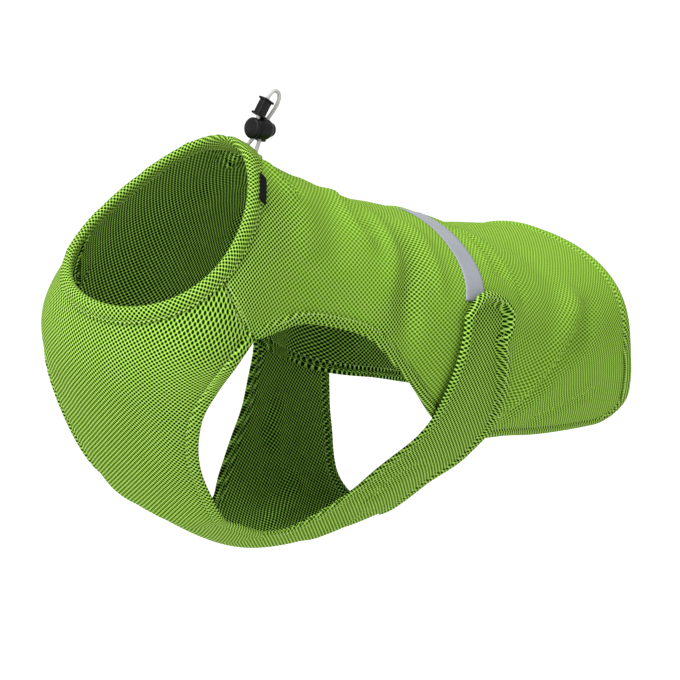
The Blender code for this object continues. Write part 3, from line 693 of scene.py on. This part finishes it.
def strapPlaces(side, chestStation, chestAngle):
    rows = np.hstack([np.array(strap["front"][side]), np.array(strap["rear"])])
    firstAngle, rearStart, rearAngle = rows[0, 1:]
    bellyAngle = np.abs(chestAngle[-1])
    share = (180.0 - bellyAngle) / (180.0 - firstAngle)
    belly = np.stack([chestStation[-1], bellyAngle,
                      strap["rearCentre"] + (rearStart - strap["rearCentre"]) * share**2,
                      180.0 - share * (180.0 - rearAngle)], axis=1)
    upward = curveThrough(rows, np.linspace(0, len(rows) - 1, strap["rows"] + 1)[1:])
    tipCount = strap["tipRows"]
    lines = np.vstack([belly, upward, np.repeat(upward[-1:], tipCount, axis=0)])
    reach = np.concatenate([np.zeros(len(belly) + len(upward)), np.arange(1, tipCount + 1) / tipCount])
    reach = 1 - (1 - reach[:, None]) ** 1.25
    front, rear = lines[:, :2], lines[:, 2:]
    opposite = formPoint(rear[:, 0], rear[:, 1]) - formPoint(front[:, 0], front[:, 1])
    wide = np.linalg.norm(opposite, axis=-1)[:, None]
    width = strap["columns"] + 2 * hemCount
    column = np.arange(width + 1.0)[None]
    zone = hemZone / wide
    across = zone + (1 - 2 * zone) * (column - hemCount) / strap["columns"]
    across = np.where(column < hemCount, np.interp(column, np.arange(hemCount + 1), hemSteps) / wide, across)
    across = np.where(column > width - hemCount, 1 - hemSpacing(column, width) / wide, across)
    station = front[:, :1] + (rear[:, :1] - front[:, :1]) * across
    angle = front[:, 1:] + (rear[:, 1:] - front[:, 1:]) * across
    tip = strap["tip"]
    roundEnd = np.clip(1 - np.abs(2 * across - 1) ** tip["roundness"], 0, 1) ** (1 / tip["roundness"])
    station = station - tip["lean"] * reach * roundEnd
    return station, side * (angle - tip["reach"] * reach * roundEnd)


def stripMap(station, angle, side):  # the strap laid flat along its own middle line
    points, normals = formPoint(station, angle), formNormal(station, angle)
    middle = station.shape[1] // 2
    line, up = points[:, middle], normals[:, middle]
    toward = np.gradient(line, axis=0)
    toward = unit(toward - up * dot(toward, up)[:, None])
    carried = toward[:-1] - up[1:] * dot(toward[:-1], up[1:])[:, None]
    turns = np.arcsin(np.clip(dot(np.cross(unit(carried), toward[1:]), up[1:]), -1, 1))
    heading = np.concatenate([[0.0], np.cumsum(-side * turns)])
    steps = np.linalg.norm(np.diff(line, axis=0), axis=1)
    mid = (heading[1:] + heading[:-1]) / 2
    lineU = np.concatenate([[0.0], np.cumsum(steps * np.cos(mid))])
    lineV = np.concatenate([[0.0], np.cumsum(steps * np.sin(mid))])
    start = clothMap(chestThreads, station[:1, middle], angle[:1, middle])[1] / mm
    reach = points - line[:, None]
    ahead = dot(reach, toward[:, None])
    beside = dot(reach, (side * np.cross(toward, up))[:, None])
    cosine, sine = np.cos(heading)[:, None], np.sin(heading)[:, None]
    mapU = lineU[:, None] + ahead * cosine - beside * sine
    mapV = start + lineV[:, None] + ahead * sine + beside * cosine
    return side * mapU * mm, mapV * mm


def strapLift(station, angle):
    edge = hemAngle(np.minimum(station, cut["hem"][left][-1][0]), left)
    low, high = strap["rise"]
    return strap["lift"] * (1 - smoothStep(edge + low, edge + high, np.abs(angle)))


def chestPanel(outside, inside):
    bm = bmesh.new()
    seamEdges, hemEdges, sheets = [], [], []
    corner = chest["neckRows"] + chest["seamRows"]
    for side in (left, right):
        station, angle = chestPlaces(side)
        seamEdges.append(formPoint(station[: corner + 1, -1], angle[: corner + 1, -1]))
        hemEdges.append(formPoint(station[corner:, -1], angle[corner:, -1]))
        strapStation, strapAngle = strapPlaces(side, station, angle)
        belly = chest["columns"] + hemCount
        for line in ((slice(belly, None), 0), (slice(None), -1), (-1, slice(None))):
            hemEdges.append(formPoint(strapStation[line], strapAngle[line]))
        sheets.append((side, station, angle, strapStation, strapAngle))
    stitched = []
    for side, station, angle, strapStation, strapAngle in sheets:
        for piece, (s, a) in enumerate(((station, angle), (strapStation, strapAngle))):
            points, normals = formPoint(s, a).reshape(-1, 3), formNormal(s, a).reshape(-1, 3)
            near = [line for line in hemEdges if np.min(line[:, 1] * -side) > -60]
            away, seamAway = nearestOf(points, near), nearestOf(points, seamEdges)
            top, wall = hemSection(away)
            if piece == 0:
                begun = smoothStep(-3.0, 4.0, distanceBeyond(s.ravel(), a.ravel()))
                top = top * begun - 1.3 * bell(seamAway, 1.7) * (1 - begun)
                wall = hem["cloth"] + (wall - hem["cloth"]) * begun
            else:
                inTip = smoothStep(108.0, 66.0, np.abs(a.ravel()))
                sunk = strap["recess"] * smoothStep(6.8, 9.9, away)
                top += strapLift(s.ravel(), a.ravel()) - sunk * inTip
                top += strap["rim"] * inTip * bell(away - 4.6, 3.8)
            calm = smoothStep(8.0, 20.0, np.minimum(away, seamAway))
            for fold in chestFolds:
                path = [(at, side * turn) for at, turn in fold["path"]]
                turned = dict(fold, path=path, apart=side * fold["apart"])
                top += foldHeight(points, normals, turned) * calm
            top, wall = top.reshape(s.shape), wall.reshape(s.shape)
            maps = stripMap(s, a, side) if piece else clothMap(chestThreads, s, a)
            laid = laySheet(bm, s, a, top, wall, maps, chestPaintedLight(s, a, piece))
            stitched.append((piece, s, a, *laid, wall))
    made = finishCloth("chestPanel", bm, (outside, inside))
    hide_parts("chest_panel")
    return made, stitched


def distanceBeyond(station, angle):  # how far a point lies behind the shoulder seam's lower end
    return (station - cut["seamEnd"] + 0.16) * 55.0


def chestStitches(stitched, finish):
    bm = bmesh.new()
    corner = chest["neckRows"] + chest["seamRows"]
    belly = chest["columns"] + hemCount
    groove = hemStitchLine
    for piece, station, angle, points, normals, wall in stitched:
        if piece == 0:
            lines = [(slice(corner + 2, -1), -1 - groove)]
            seam = slice(chest["neckRows"] + 2, corner - 1)
            stitchLine(bm, points[seam, -4], normals[seam, -4])
        else:
            lines = [(slice(belly, -groove), groove), (slice(0, -groove), -1 - groove),
                     (-1 - groove, slice(groove, -groove))]
            tack = np.argmin(np.abs(np.abs(angle[:, -1]) - 88.0))  # bar that ends the rear edge's stitches
            stitchLine(bm, points[tack, -11:-3], normals[tack, -11:-3], spacing=1.1)
        for place in lines:
            stitchBothFaces(bm, points[place], normals[place], wall[place])
    return finishObject("chestStitches", bm, (finish,))


# neck casing: rows of (share of its depth, height above the panel's outer face), round the folded strip
casing = {
    "profile": ((1.01, 0.15), (1.012, 0.9), (0.985, 1.5), (0.93, 1.55), (0.885, 1.0), (0.84, 1.5),
                (0.74, 2.2), (0.55, 2.8), (0.35, 2.8), (0.18, 2.2), (0.05, 0.9), (0.0, -1.0),
                (0.05, -2.9), (0.20, -4.2), (0.45, -4.7), (0.70, -4.3), (0.86, -3.6), (0.93, -3.8),
                (1.0, -3.3), (1.01, -2.3), (0.75, -2.35), (0.55, -3.0), (0.24, -2.9), (0.13, -1.0),
                (0.24, 0.9), (0.55, 1.0), (0.75, 0.35), (1.01, 0.15)),
    "around": 240,
    "round": 84,
    "grooveShare": 0.885,
    "mapRow": 12,  # line round the section whose length the cloth's map keeps
    "gathers": ((17, 0.35, 0.4), (29, 0.25, 1.9), (41, 0.18, 3.1)),  # how many round the neck, height, phase
}


def casingPoints(angle, share, height):
    turn = np.radians(angle)
    ripple = sum(size * np.sin(count * turn + phase) for count, size, phase in casing["gathers"])
    gather = ripple * (0.35 + 0.65 * np.maximum(np.cos(turn), 0) ** 4) * smoothStep(-1.5, 1.0, height)
    height = height + gather * smoothStep(1.02, 0.8, share)
    return above(stationAt(angle, share * casingDepth(angle)), angle, height)


def neckCasing(finish):
    bm = bmesh.new()
    around, loops = casing["around"], casing["round"]
    section = curveThrough(casing["profile"], np.linspace(0, len(casing["profile"]) - 1, loops + 1))
    angle = np.linspace(-180, 180, around + 1)
    angle = angle - 20 * np.sin(np.radians(angle))  # closer together at the nape
    angle, share = np.meshgrid(angle, section[:, 0])
    height = np.repeat(section[:, 1:], around + 1, axis=1)
    points = casingPoints(angle, share, height)
    neckLine = np.linalg.norm(np.diff(points[casing["mapRow"]], axis=0), axis=1)
    mapU = np.tile(np.concatenate([[0.0], np.cumsum(neckLine)]) * mm, (loops + 1, 1))
    deep = np.linalg.norm(np.diff(points, axis=0), axis=-1)
    mapV = np.vstack([np.zeros(around + 1), np.cumsum(deep, axis=0)]) * mm
    cloth = bm.loops.layers.uv.verify()
    openness = bm.verts.layers.float.new("open")
    where = gridFrom(bm, points)
    # the casing gets the full painted hole shade and post highlight
    for vertex in where:
        vertex[openness] = 1.0
    layMap(cloth, where, mapU, mapV)
    bmesh.ops.remove_doubles(bm, verts=bm.verts, dist=0.01 * mm)
    bmesh.ops.recalc_face_normals(bm, faces=bm.faces)
    made = finishObject("neckCasing", bm, (finish,))
    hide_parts("neck_casing")
    return made


def casingStitches(finish):
    bm = bmesh.new()
    angle = np.linspace(-180, 180, 361)
    share = np.full_like(angle, casing["grooveShare"])
    for height, facing in ((1.05, 1), (-3.55, -1)):
        points = casingPoints(angle, share, np.full_like(angle, height))
        normals = formNormal(stationAt(angle, share * casingDepth(angle)), angle) * facing
        stitchLine(bm, points, normals, spacing=3.2)
    return finishObject("casingStitches", bm, (finish,))


# blank tag on the left of the casing: angles it spans, rows of (beyond the casing's lower edge, height)
tag = {"angles": (38.0, 54.5), "rows": ((-5.0, 3.1), (-2.2, 3.0), (0.4, 2.5), (2.5, 1.9)), "thick": 0.9}


def neckTag(finish):
    bm = bmesh.new()
    angle, row = np.meshgrid(np.linspace(*tag["angles"], 25), np.linspace(0, 3, 13))
    placed = curveThrough(tag["rows"], row.ravel()).reshape(*row.shape, 2)
    height = placed[..., 1] + tag["thick"] + 0.12 * np.sin(np.radians(angle * 22))
    gridFrom(bm, above(stationAt(angle, casingDepth(angle) + placed[..., 0]), angle, height))
    bmesh.ops.recalc_face_normals(bm, faces=bm.faces)
    made = finishObject("neckTag", bm, (finish,))
    thicken(made, tag["thick"])
    soft = made.modifiers.new("soft edge", "BEVEL")
    soft.width = 0.2 * mm
    soft.segments = 2
    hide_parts("neck_tag")
    return made


# drawcord: its free loop's route, from one exit at the nape through the lock and the clip and back
cord = {
    "route": (
        (-93.4, 0.0, 26.6), (-93.2, -0.6, 30.0), (-92.2, -2.2, 33.5), (-91.4, -3.6, 38.0),
        (-91.2, -4.0, 43.5), (-91.8, -4.0, 49.0), (-92.4, -4.0, 52.5), (-90.9, -4.0, 56.8),
        (-89.3, -4.0, 61.2), (-87.7, -4.0, 65.6), (-85.6, -4.0, 69.8), (-82.4, -4.0, 72.4),
        (-78.8, -4.2, 72.2), (-76.2, -4.4, 69.4), (-76.0, -4.6, 65.2), (-77.6, -4.6, 60.2),
        (-80.2, -4.4, 55.0), (-83.2, -4.2, 49.6), (-85.4, -4.0, 43.5), (-86.6, -4.8, 38.0),
        (-88.2, -6.4, 33.0), (-90.3, -7.9, 29.0), (-90.9, -8.4, 25.6),
    ),
    "radius": 1.5,
}


def tubeAlong(points, radius, around=16):
    bm = bmesh.new()
    count = len(points) - 1
    tangents = unit(np.gradient(points, axis=0))
    side = unit(np.cross(tangents[0], (0.0, 1.0, 0.2)))
    sides = []
    for tangent in tangents:
        side = unit(side - tangent * dot(side, tangent))
        sides.append(side)
    sides = np.array(sides)
    others = np.cross(tangents, sides)
    lengths = np.concatenate([[0.0], np.cumsum(np.linalg.norm(np.diff(points, axis=0), axis=1))])
    cloth = bm.loops.layers.uv.verify()
    made = bmesh.ops.create_grid(bm, x_segments=around, y_segments=count, size=0.5)["verts"]
    where = {v: (round((v.co.y + 0.5) * count), round((v.co.x + 0.5) * around)) for v in made}
    for vertex, (j, i) in where.items():
        turn = 2 * math.pi * i / around
        vertex.co = (points[j] + radius * (math.cos(turn) * sides[j] + math.sin(turn) * others[j])) * mm
    for face in bm.faces:
        for loop in face.loops:
            j, i = where[loop.vert]
            loop[cloth].uv = (i / around, lengths[j] / (2 * math.pi * radius))
    bmesh.ops.remove_doubles(bm, verts=bm.verts, dist=0.001 * mm)
    bmesh.ops.holes_fill(bm, edges=[edge for edge in bm.edges if edge.is_boundary], sides=around + 1)
    bmesh.ops.recalc_face_normals(bm, faces=bm.faces)
    return bm, lengths[-1]


def routePoints(first=0.0, last=None, perRow=8):
    last = len(cord["route"]) - 1 if last is None else last
    return curveThrough(cord["route"], np.linspace(first, last, int((last - first) * perRow) + 1))


def drawCord(finish):
    points = routePoints()
    bm, length = tubeAlong(points, cord["radius"])
    made = finishObject("drawCord", bm, (finish,))
    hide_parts("drawcord")
    return made, points, length


def cutWith(made, tool):
    cutter = bpy.data.objects.new("cutter", bpy.data.meshes.new("cutter"))
    tool.to_mesh(cutter.data)
    tool.free()
    bpy.context.scene.collection.objects.link(cutter)
    taken = made.modifiers.new("cut", "BOOLEAN")
    taken.operation = "DIFFERENCE"
    taken.solver = "EXACT"
    taken.use_self = True
    taken.object = cutter
    bpy.context.view_layer.update()
    whole = bpy.data.meshes.new_from_object(made.evaluated_get(bpy.context.evaluated_depsgraph_get()))
    made.modifiers.clear()
    made.data = whole
    bpy.data.objects.remove(cutter)


# cord lock: a barrel lying along the back, an end disc, a foot under it, a push button at its rear
lock = {
    "centre": (-88.3, -4.0, 43.4),
    # half section, rows of (along the barrel, radius)
    "barrel": ((-9.0, 0.0), (-9.0, 6.4), (-8.6, 7.3), (-7.6, 7.9), (-6.6, 7.9), (-5.9, 7.5), (-5.6, 6.9),
               (-5.2, 6.9), (-4.8, 7.5), (-3.6, 7.9), (4.6, 7.9), (6.6, 7.7), (8.1, 6.9), (9.0, 5.6),
               (9.0, 0.0)),
    "button": {"length": 3.6, "radius": 5.4, "gap": 0.3},
    "foot": {"size": (7.0, 6.0, 3.0), "place": (3.6, 0.0, -7.6)},
    "notch": 3.1,  # radius at the top of the hole for the returning strand
    "clear": 0.3,
}
clip = {"centre": (-90.0, -4.0, 59.2), "tilt": 20.0, "size": (10.5, 8.0, 14.0), "lip": 1.9, "waist": 0.9}


def turnedBody(section, steps):  # a section of (along, radius) turned round the lock's own axis
    bm = bmesh.new()
    rows = [bm.verts.new((x * mm, 0, radius * mm)) for x, radius in section]
    edges = [bm.edges.new(pair) for pair in zip(rows, rows[1:])]
    bmesh.ops.spin(bm, geom=rows + edges, cent=(0, 0, 0), axis=(1, 0, 0), angle=2 * math.pi, steps=steps,
                   use_merge=True)
    bmesh.ops.remove_doubles(bm, verts=bm.verts, dist=0.001 * mm)
    return bm


def roundedBox(bm, size, place, rounding):
    corners = bmesh.ops.create_cube(bm, size=1.0)["verts"]
    bmesh.ops.scale(bm, verts=corners, vec=Vector(size) * mm)
    bmesh.ops.translate(bm, verts=corners, vec=Vector(place) * mm)
    edges = list({edge for corner in corners for edge in corner.link_edges})
    bmesh.ops.bevel(bm, geom=edges, offset=rounding * mm, segments=3, profile=0.5, affect="EDGES",
                    material=-1)


def finishPlastic(name, bm, finish, place, tools=()):
    bmesh.ops.translate(bm, verts=bm.verts, vec=Vector(place) * mm)
    bmesh.ops.recalc_face_normals(bm, faces=bm.faces)
    made = finishObject(name, bm, (finish,))
    for tool in tools:
        cutWith(made, tool)
    made.data.set_sharp_from_angle(angle=math.radians(38))
    return made


def boreAlong(first, last):
    return tubeAlong(routePoints(first, last), cord["radius"] + lock["clear"])[0]


def cordLock(finish):
    bm = turnedBody(lock["barrel"], 56)
    roundedBox(bm, lock["foot"]["size"], lock["foot"]["place"], 0.9)
    top = routePoints(17, 18)[[0, -1]]
    notch = bmesh.new()
    turned = Vector(top[0] - top[1]).normalized().to_track_quat("Z", "Y").to_matrix().to_4x4()
    place = Matrix.Translation(Vector(top[0] * 0.62 + top[1] * 0.38) * mm) @ turned
    widest = (lock["notch"] + 1.4) * mm
    bmesh.ops.create_cone(notch, cap_ends=True, segments=28, radius1=1.6 * mm, radius2=widest,
                          depth=6.0 * mm, matrix=place)
    made = finishPlastic("cordLock", bm, finish, lock["centre"], (boreAlong(2, 6), boreAlong(16, 20), notch))
    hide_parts("cord_lock")
    return made


def lockButton(finish):
    button = lock["button"]
    start = lock["centre"][0] + 9.0 + button["gap"]
    section = ((0, 0), (0, button["radius"]), (2.3, button["radius"]), (3.1, button["radius"] - 0.3),
               (3.5, button["radius"] - 1.0), (button["length"], button["radius"] - 2.0), (3.2, 0))
    made = finishPlastic("lockButton", turnedBody(section, 48), finish, (start, *lock["centre"][1:]))
    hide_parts("lock_plunger")
    return made


def cordClip(finish):
    bm = bmesh.new()
    width, depth, length = clip["size"]
    slim = (width - 2 * clip["waist"], depth - 2 * clip["waist"], length - clip["lip"])
    roundedBox(bm, slim, (0, 0, 0), 1.3)
    for end in (-1, 1):
        roundedBox(bm, (width, depth, clip["lip"]), (0, 0, end * (length - clip["lip"]) / 2), 0.8)
    bmesh.ops.rotate(bm, verts=bm.verts, matrix=Matrix.Rotation(math.radians(clip["tilt"]), 3, "Y"))
    made = finishPlastic("cordClip", bm, finish, clip["centre"], (boreAlong(5, 11),))
    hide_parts("cord_clip")
    return made


# node helpers
def node(tree, kind, **settings):
    made = tree.nodes.new(kind)
    for key, value in settings.items():
        if key in made.inputs:
            made.inputs[key].default_value = value
        else:
            setattr(made, key, value)
    return made


def arithmetic(tree, operation, first, second=None):
    made = node(tree, "ShaderNodeMath", operation=operation)
    for socket, value in zip(made.inputs, (first, second)):
        if value is None:
            continue
        if isinstance(value, (int, float)):
            socket.default_value = value
        else:
            tree.links.new(value, socket)
    return made.outputs[0]


def mix(tree, factor, first, second):  # a colour between two, each a tuple or a socket
    made = node(tree, "ShaderNodeMix", data_type="RGBA")
    for socket, value in ((0, factor), (6, first), (7, second)):
        if isinstance(value, tuple):
            made.inputs[socket].default_value = (*value, 1)
        else:
            tree.links.new(value, made.inputs[socket])
    return made.outputs[2]


def laidOver(tree, kind, source="Object", **settings):  # output of a node that's fed the piece's coordinates
    made = node(tree, kind, **settings)
    coordinates = tree.nodes.new("ShaderNodeTexCoord")
    tree.links.new(coordinates.outputs[source], made.inputs["Vector"])
    return made.outputs[0]


def rangeOf(tree, source, **limits):
    made = tree.nodes.new("ShaderNodeMapRange")
    for side, pair in limits.items():
        made.inputs[f"{side} Min"].default_value, made.inputs[f"{side} Max"].default_value = pair
    tree.links.new(source, made.inputs["Value"])
    return made


def addBump(tree, shader, height, strength, distance):
    bump = node(tree, "ShaderNodeBump", Strength=strength, Distance=distance)
    tree.links.new(height, bump.inputs["Height"])
    tree.links.new(bump.outputs[0], shader.inputs["Normal"])


def newFinish(name, colour, roughness, specular=0.5, sheen=0.0):
    finish = bpy.data.materials.new(name)
    finish.use_nodes = True
    shader = finish.node_tree.nodes["Principled BSDF"]
    for key, value in (("Base Color", (*colour, 1)), ("Roughness", roughness),
                       ("Specular IOR Level", specular), ("Sheen Weight", sheen)):
        shader.inputs[key].default_value = value
    return finish, finish.node_tree, shader


# spacer mesh: staggered holes, pitch and row in metres on the cloth
meshSize = {
    "pitch": 0.00365,
    "row": 0.00365,
    # how far from a hole's middle the painted hole shade gives way to yarn, and where the painted highlight
    # on the yarn's raised posts starts and is full, in shares of the pitch
    "rim": (0.22, 0.33),
    "insideRim": (0.26, 0.36),
    "post": (0.34, 0.47),
}


def between(low, high, share):
    return tuple((1 - share) * first + share * second for first, second in zip(low, high))


def meshFinish(name, postHighlight, shade, holeShade, sheen, varied):
    finish, tree, shader = newFinish(name, shade, 0.8)
    links = tree.links
    wobble = laidOver(tree, "ShaderNodeTexNoise", "UV", Scale=45.0, Detail=1.0)
    cells = laidOver(tree, "ShaderNodeMapping", "UV", Scale=(1 / meshSize["pitch"], 1 / meshSize["row"], 1))

    def vector(operation, source, value=None):
        made = node(tree, "ShaderNodeVectorMath", operation=operation)
        links.new(source, made.inputs[0])
        if value is not None:
            made.inputs[1].default_value = value
        return made.outputs["Value" if operation == "LENGTH" else "Vector"]

    distances = []
    for offset in (0.0, 0.5):
        part = vector("FRACTION", vector("ADD", cells, (offset, offset, 0)))
        centred = vector("MULTIPLY", vector("SUBTRACT", part, (0.5, 0.5, 0)), (1, 1, 0))
        distances.append(vector("LENGTH", centred))
    nearest = arithmetic(tree, "MINIMUM", *distances)

    def mask(limits):
        ramp = rangeOf(tree, nearest, From=limits)
        ramp.interpolation_type = "SMOOTHSTEP"
        return ramp.outputs[0]

    solid, post = mask(meshSize["rim" if varied else "insideRim"]), mask(meshSize["post"])
    weave = mix(tree, wobble, shade, between(shade, postHighlight, 0.2))
    if varied:  # where the share is low the holes get less painted shade and the posts less painted highlight
        opened = node(tree, "ShaderNodeAttribute", attribute_name="open").outputs["Fac"]
        below = mix(tree, opened, tuple(0.62 * part for part in shade), holeShade)
        light = mix(tree, opened, between(shade, postHighlight, 0.28), postHighlight)
    else:
        below, light = holeShade, postHighlight
    # below is the painted shade in the holes and light the painted highlight on the raised posts
    tone = mix(tree, post, mix(tree, solid, below, weave), light)
    links.new(tone, shader.inputs["Base Color"])
    addBump(tree, shader, nearest, 0.7, 0.0006)
    links.new(arithmetic(tree, "MULTIPLY", solid, sheen), shader.inputs["Sheen Weight"])
    shader.inputs["Sheen Roughness"].default_value = 0.5
    shader.inputs["Sheen Tint"].default_value = (0.45, 0.65, 0.06, 1)
    links.new(arithmetic(tree, "MULTIPLY", solid, 0.1), shader.inputs["Specular IOR Level"])
    return finish


def plasticFinish():
    finish, tree, shader = newFinish("blackPlastic", (0.004, 0.004, 0.0045), 0.36, specular=0.16)
    addBump(tree, shader, laidOver(tree, "ShaderNodeTexNoise", Scale=2600.0, Detail=3.0), 0.25, 0.0001)
    wear = laidOver(tree, "ShaderNodeTexNoise", Scale=420.0, Detail=4.0)
    tree.links.new(rangeOf(tree, wear, To=(0.28, 0.5)).outputs[0], shader.inputs["Roughness"])
    return finish


def tapeFinish():
    finish, tree, shader = newFinish("silverTape", (0.26, 0.275, 0.31), 0.45, specular=0.3)
    beads = laidOver(tree, "ShaderNodeTexNoise", Scale=900.0, Detail=4.0)
    cloudy = laidOver(tree, "ShaderNodeTexNoise", Scale=60.0, Detail=3.0)
    mottle = arithmetic(tree, "ADD", arithmetic(tree, "MULTIPLY", beads, 0.6),
                        arithmetic(tree, "MULTIPLY", cloudy, 0.4))
    tone = mix(tree, mottle, (0.20, 0.215, 0.245), (0.31, 0.325, 0.36))
    tree.links.new(tone, shader.inputs["Base Color"])
    addBump(tree, shader, beads, 0.3, 0.0001)
    return finish


def labelFinish():
    finish, tree, shader = newFinish("blackLabel", (0.010, 0.010, 0.012), 0.8, specular=0.05)
    weave = laidOver(tree, "ShaderNodeTexWave", Scale=900.0, Distortion=1.0)
    tone = mix(tree, weave, (0.003, 0.003, 0.004), (0.010, 0.010, 0.012))
    tree.links.new(tone, shader.inputs["Base Color"])
    addBump(tree, shader, weave, 0.4, 0.0001)
    return finish


def cordFinish():
    finish, tree, shader = newFinish("greyCord", (0.50, 0.49, 0.48), 0.75, sheen=0.2)
    braids = []
    for slant in (1, -1):
        parts = tree.nodes.new("ShaderNodeSeparateXYZ")
        lay = laidOver(tree, "ShaderNodeMapping", "UV", Scale=(8.0, 8.0 * slant, 1))
        tree.links.new(lay, parts.inputs[0])
        slope = arithmetic(tree, "ADD", parts.outputs[0], parts.outputs[1])
        braids.append(arithmetic(tree, "SINE", arithmetic(tree, "MULTIPLY", slope, 2 * math.pi)))
    strands = arithmetic(tree, "MAXIMUM", *braids)
    tone = mix(tree, strands, (0.30, 0.295, 0.29), (0.60, 0.59, 0.57))
    tree.links.new(tone, shader.inputs["Base Color"])
    addBump(tree, shader, strands, 0.5, 0.0002)
    return finish


def threadFinish(name, colour):
    finish, tree, shader = newFinish(name, colour, 0.6, sheen=0.3)
    addBump(tree, shader, laidOver(tree, "ShaderNodeTexWave", Scale=1400.0, Distortion=2.0), 0.3, 0.0001)
    return finish


# painted highlight on the yarn's raised posts, the yarn's own colour, and painted shade in the holes
outsideColours = (0.42, 0.60, 0.17), (0.205, 0.42, 0.028), (0.003, 0.016, 0.0)
# the inside's copy paints a brighter highlight and darker, wider hole shade, standing in for light bounced
# round inside the vest
insideColours = (0.56, 0.88, 0.19), (0.20, 0.45, 0.04), (0.0, 0.003, 0.0)
limeOutside = meshFinish("limeMesh", *outsideColours, 0.2, True)
limeInside = meshFinish("limeMeshInside", *insideColours, 0.05, False)
limeThread = threadFinish("limeThread", (0.36, 0.52, 0.16))
blackPlastic = plasticFinish()

back, backPoints, backNormals, backWall = backPanel(limeOutside, limeInside)
backStitches(backPoints, backNormals, backWall, limeThread)
print("back panel made")
silver = reflectiveTape(tapeFinish())
print("tape made")
front, stitchedSheets = chestPanel(limeOutside, limeInside)
chestStitches(stitchedSheets, limeThread)
print("chest panel and straps made")
collar = neckCasing(limeOutside)
casingStitches(limeThread)
label = neckTag(labelFinish())
print("neck casing and tag made")
greyCord = cordFinish()
loop, loopPath, loopLength = drawCord(greyCord)
lockPieces = [cordLock(blackPlastic), lockButton(blackPlastic), cordClip(blackPlastic)]
bpy.data.objects["drawcord_in_casing"].material_slots[0].material = greyCord
print("cord", round(loopLength, 1), "lock and clip made")


# each sheet's outer area, in square metres
for made, held, below in ((back, "draped", ()), (front, "stretched", ()), (collar, "folded", (back, front)),
                          (silver, "laid", (back,)), (label, "laid", (collar,))):
    print(made.name, "outer area", round(sum(face.area for face in made.data.polygons), 5))
print("cord", round(loopLength, 1), "mm; sheets declared")


# floor and light
def addStudio():
    bm = bmesh.new()
    bmesh.ops.create_grid(bm, x_segments=1, y_segments=1, size=60.0)
    bmesh.ops.translate(bm, verts=bm.verts, vec=(0, 0, -0.9))
    mesh = bpy.data.meshes.new("floor")
    bm.to_mesh(mesh)
    bm.free()
    floor = bpy.data.objects.new("floor", mesh)
    bpy.context.scene.collection.objects.link(floor)
    pale, _, _ = newFinish("paleFloor", (0.81, 0.81, 0.81), 0.9)
    mesh.materials.append(pale)
    world = bpy.data.worlds.new("studio")
    world.use_nodes = True
    world.node_tree.nodes["Background"].inputs[0].default_value = (1, 1, 1, 1)
    world.node_tree.nodes["Background"].inputs[1].default_value = 0.84
    bpy.context.scene.world = world
    daylight = bpy.data.lights.new("daylight", "SUN")
    daylight.energy = 2.3
    daylight.angle = math.radians(16)
    sun = bpy.data.objects.new("daylight", daylight)
    sun.rotation_euler = Vector((-1.1, 0.25, 1.5)).to_track_quat("Z", "Y").to_euler()
    bpy.context.scene.collection.objects.link(sun)
    lamps = (("key", (-1.9, -0.1, 0.5), 0.5, 18), ("front", (-0.7, -1.9, 1.2), 1.2, 3))
    for name, place, size, power in lamps:
        data = bpy.data.lights.new(name, "AREA")
        data.size = size
        data.energy = power
        lamp = bpy.data.objects.new(name, data)
        lamp.location = place
        lamp.rotation_euler = (Vector((0.05, 0, -0.12)) - Vector(place)).to_track_quat("-Z", "Y").to_euler()
        bpy.context.scene.collection.objects.link(lamp)
    bpy.context.scene.view_settings.view_transform = "Standard"


addStudio()
print("studio lit")
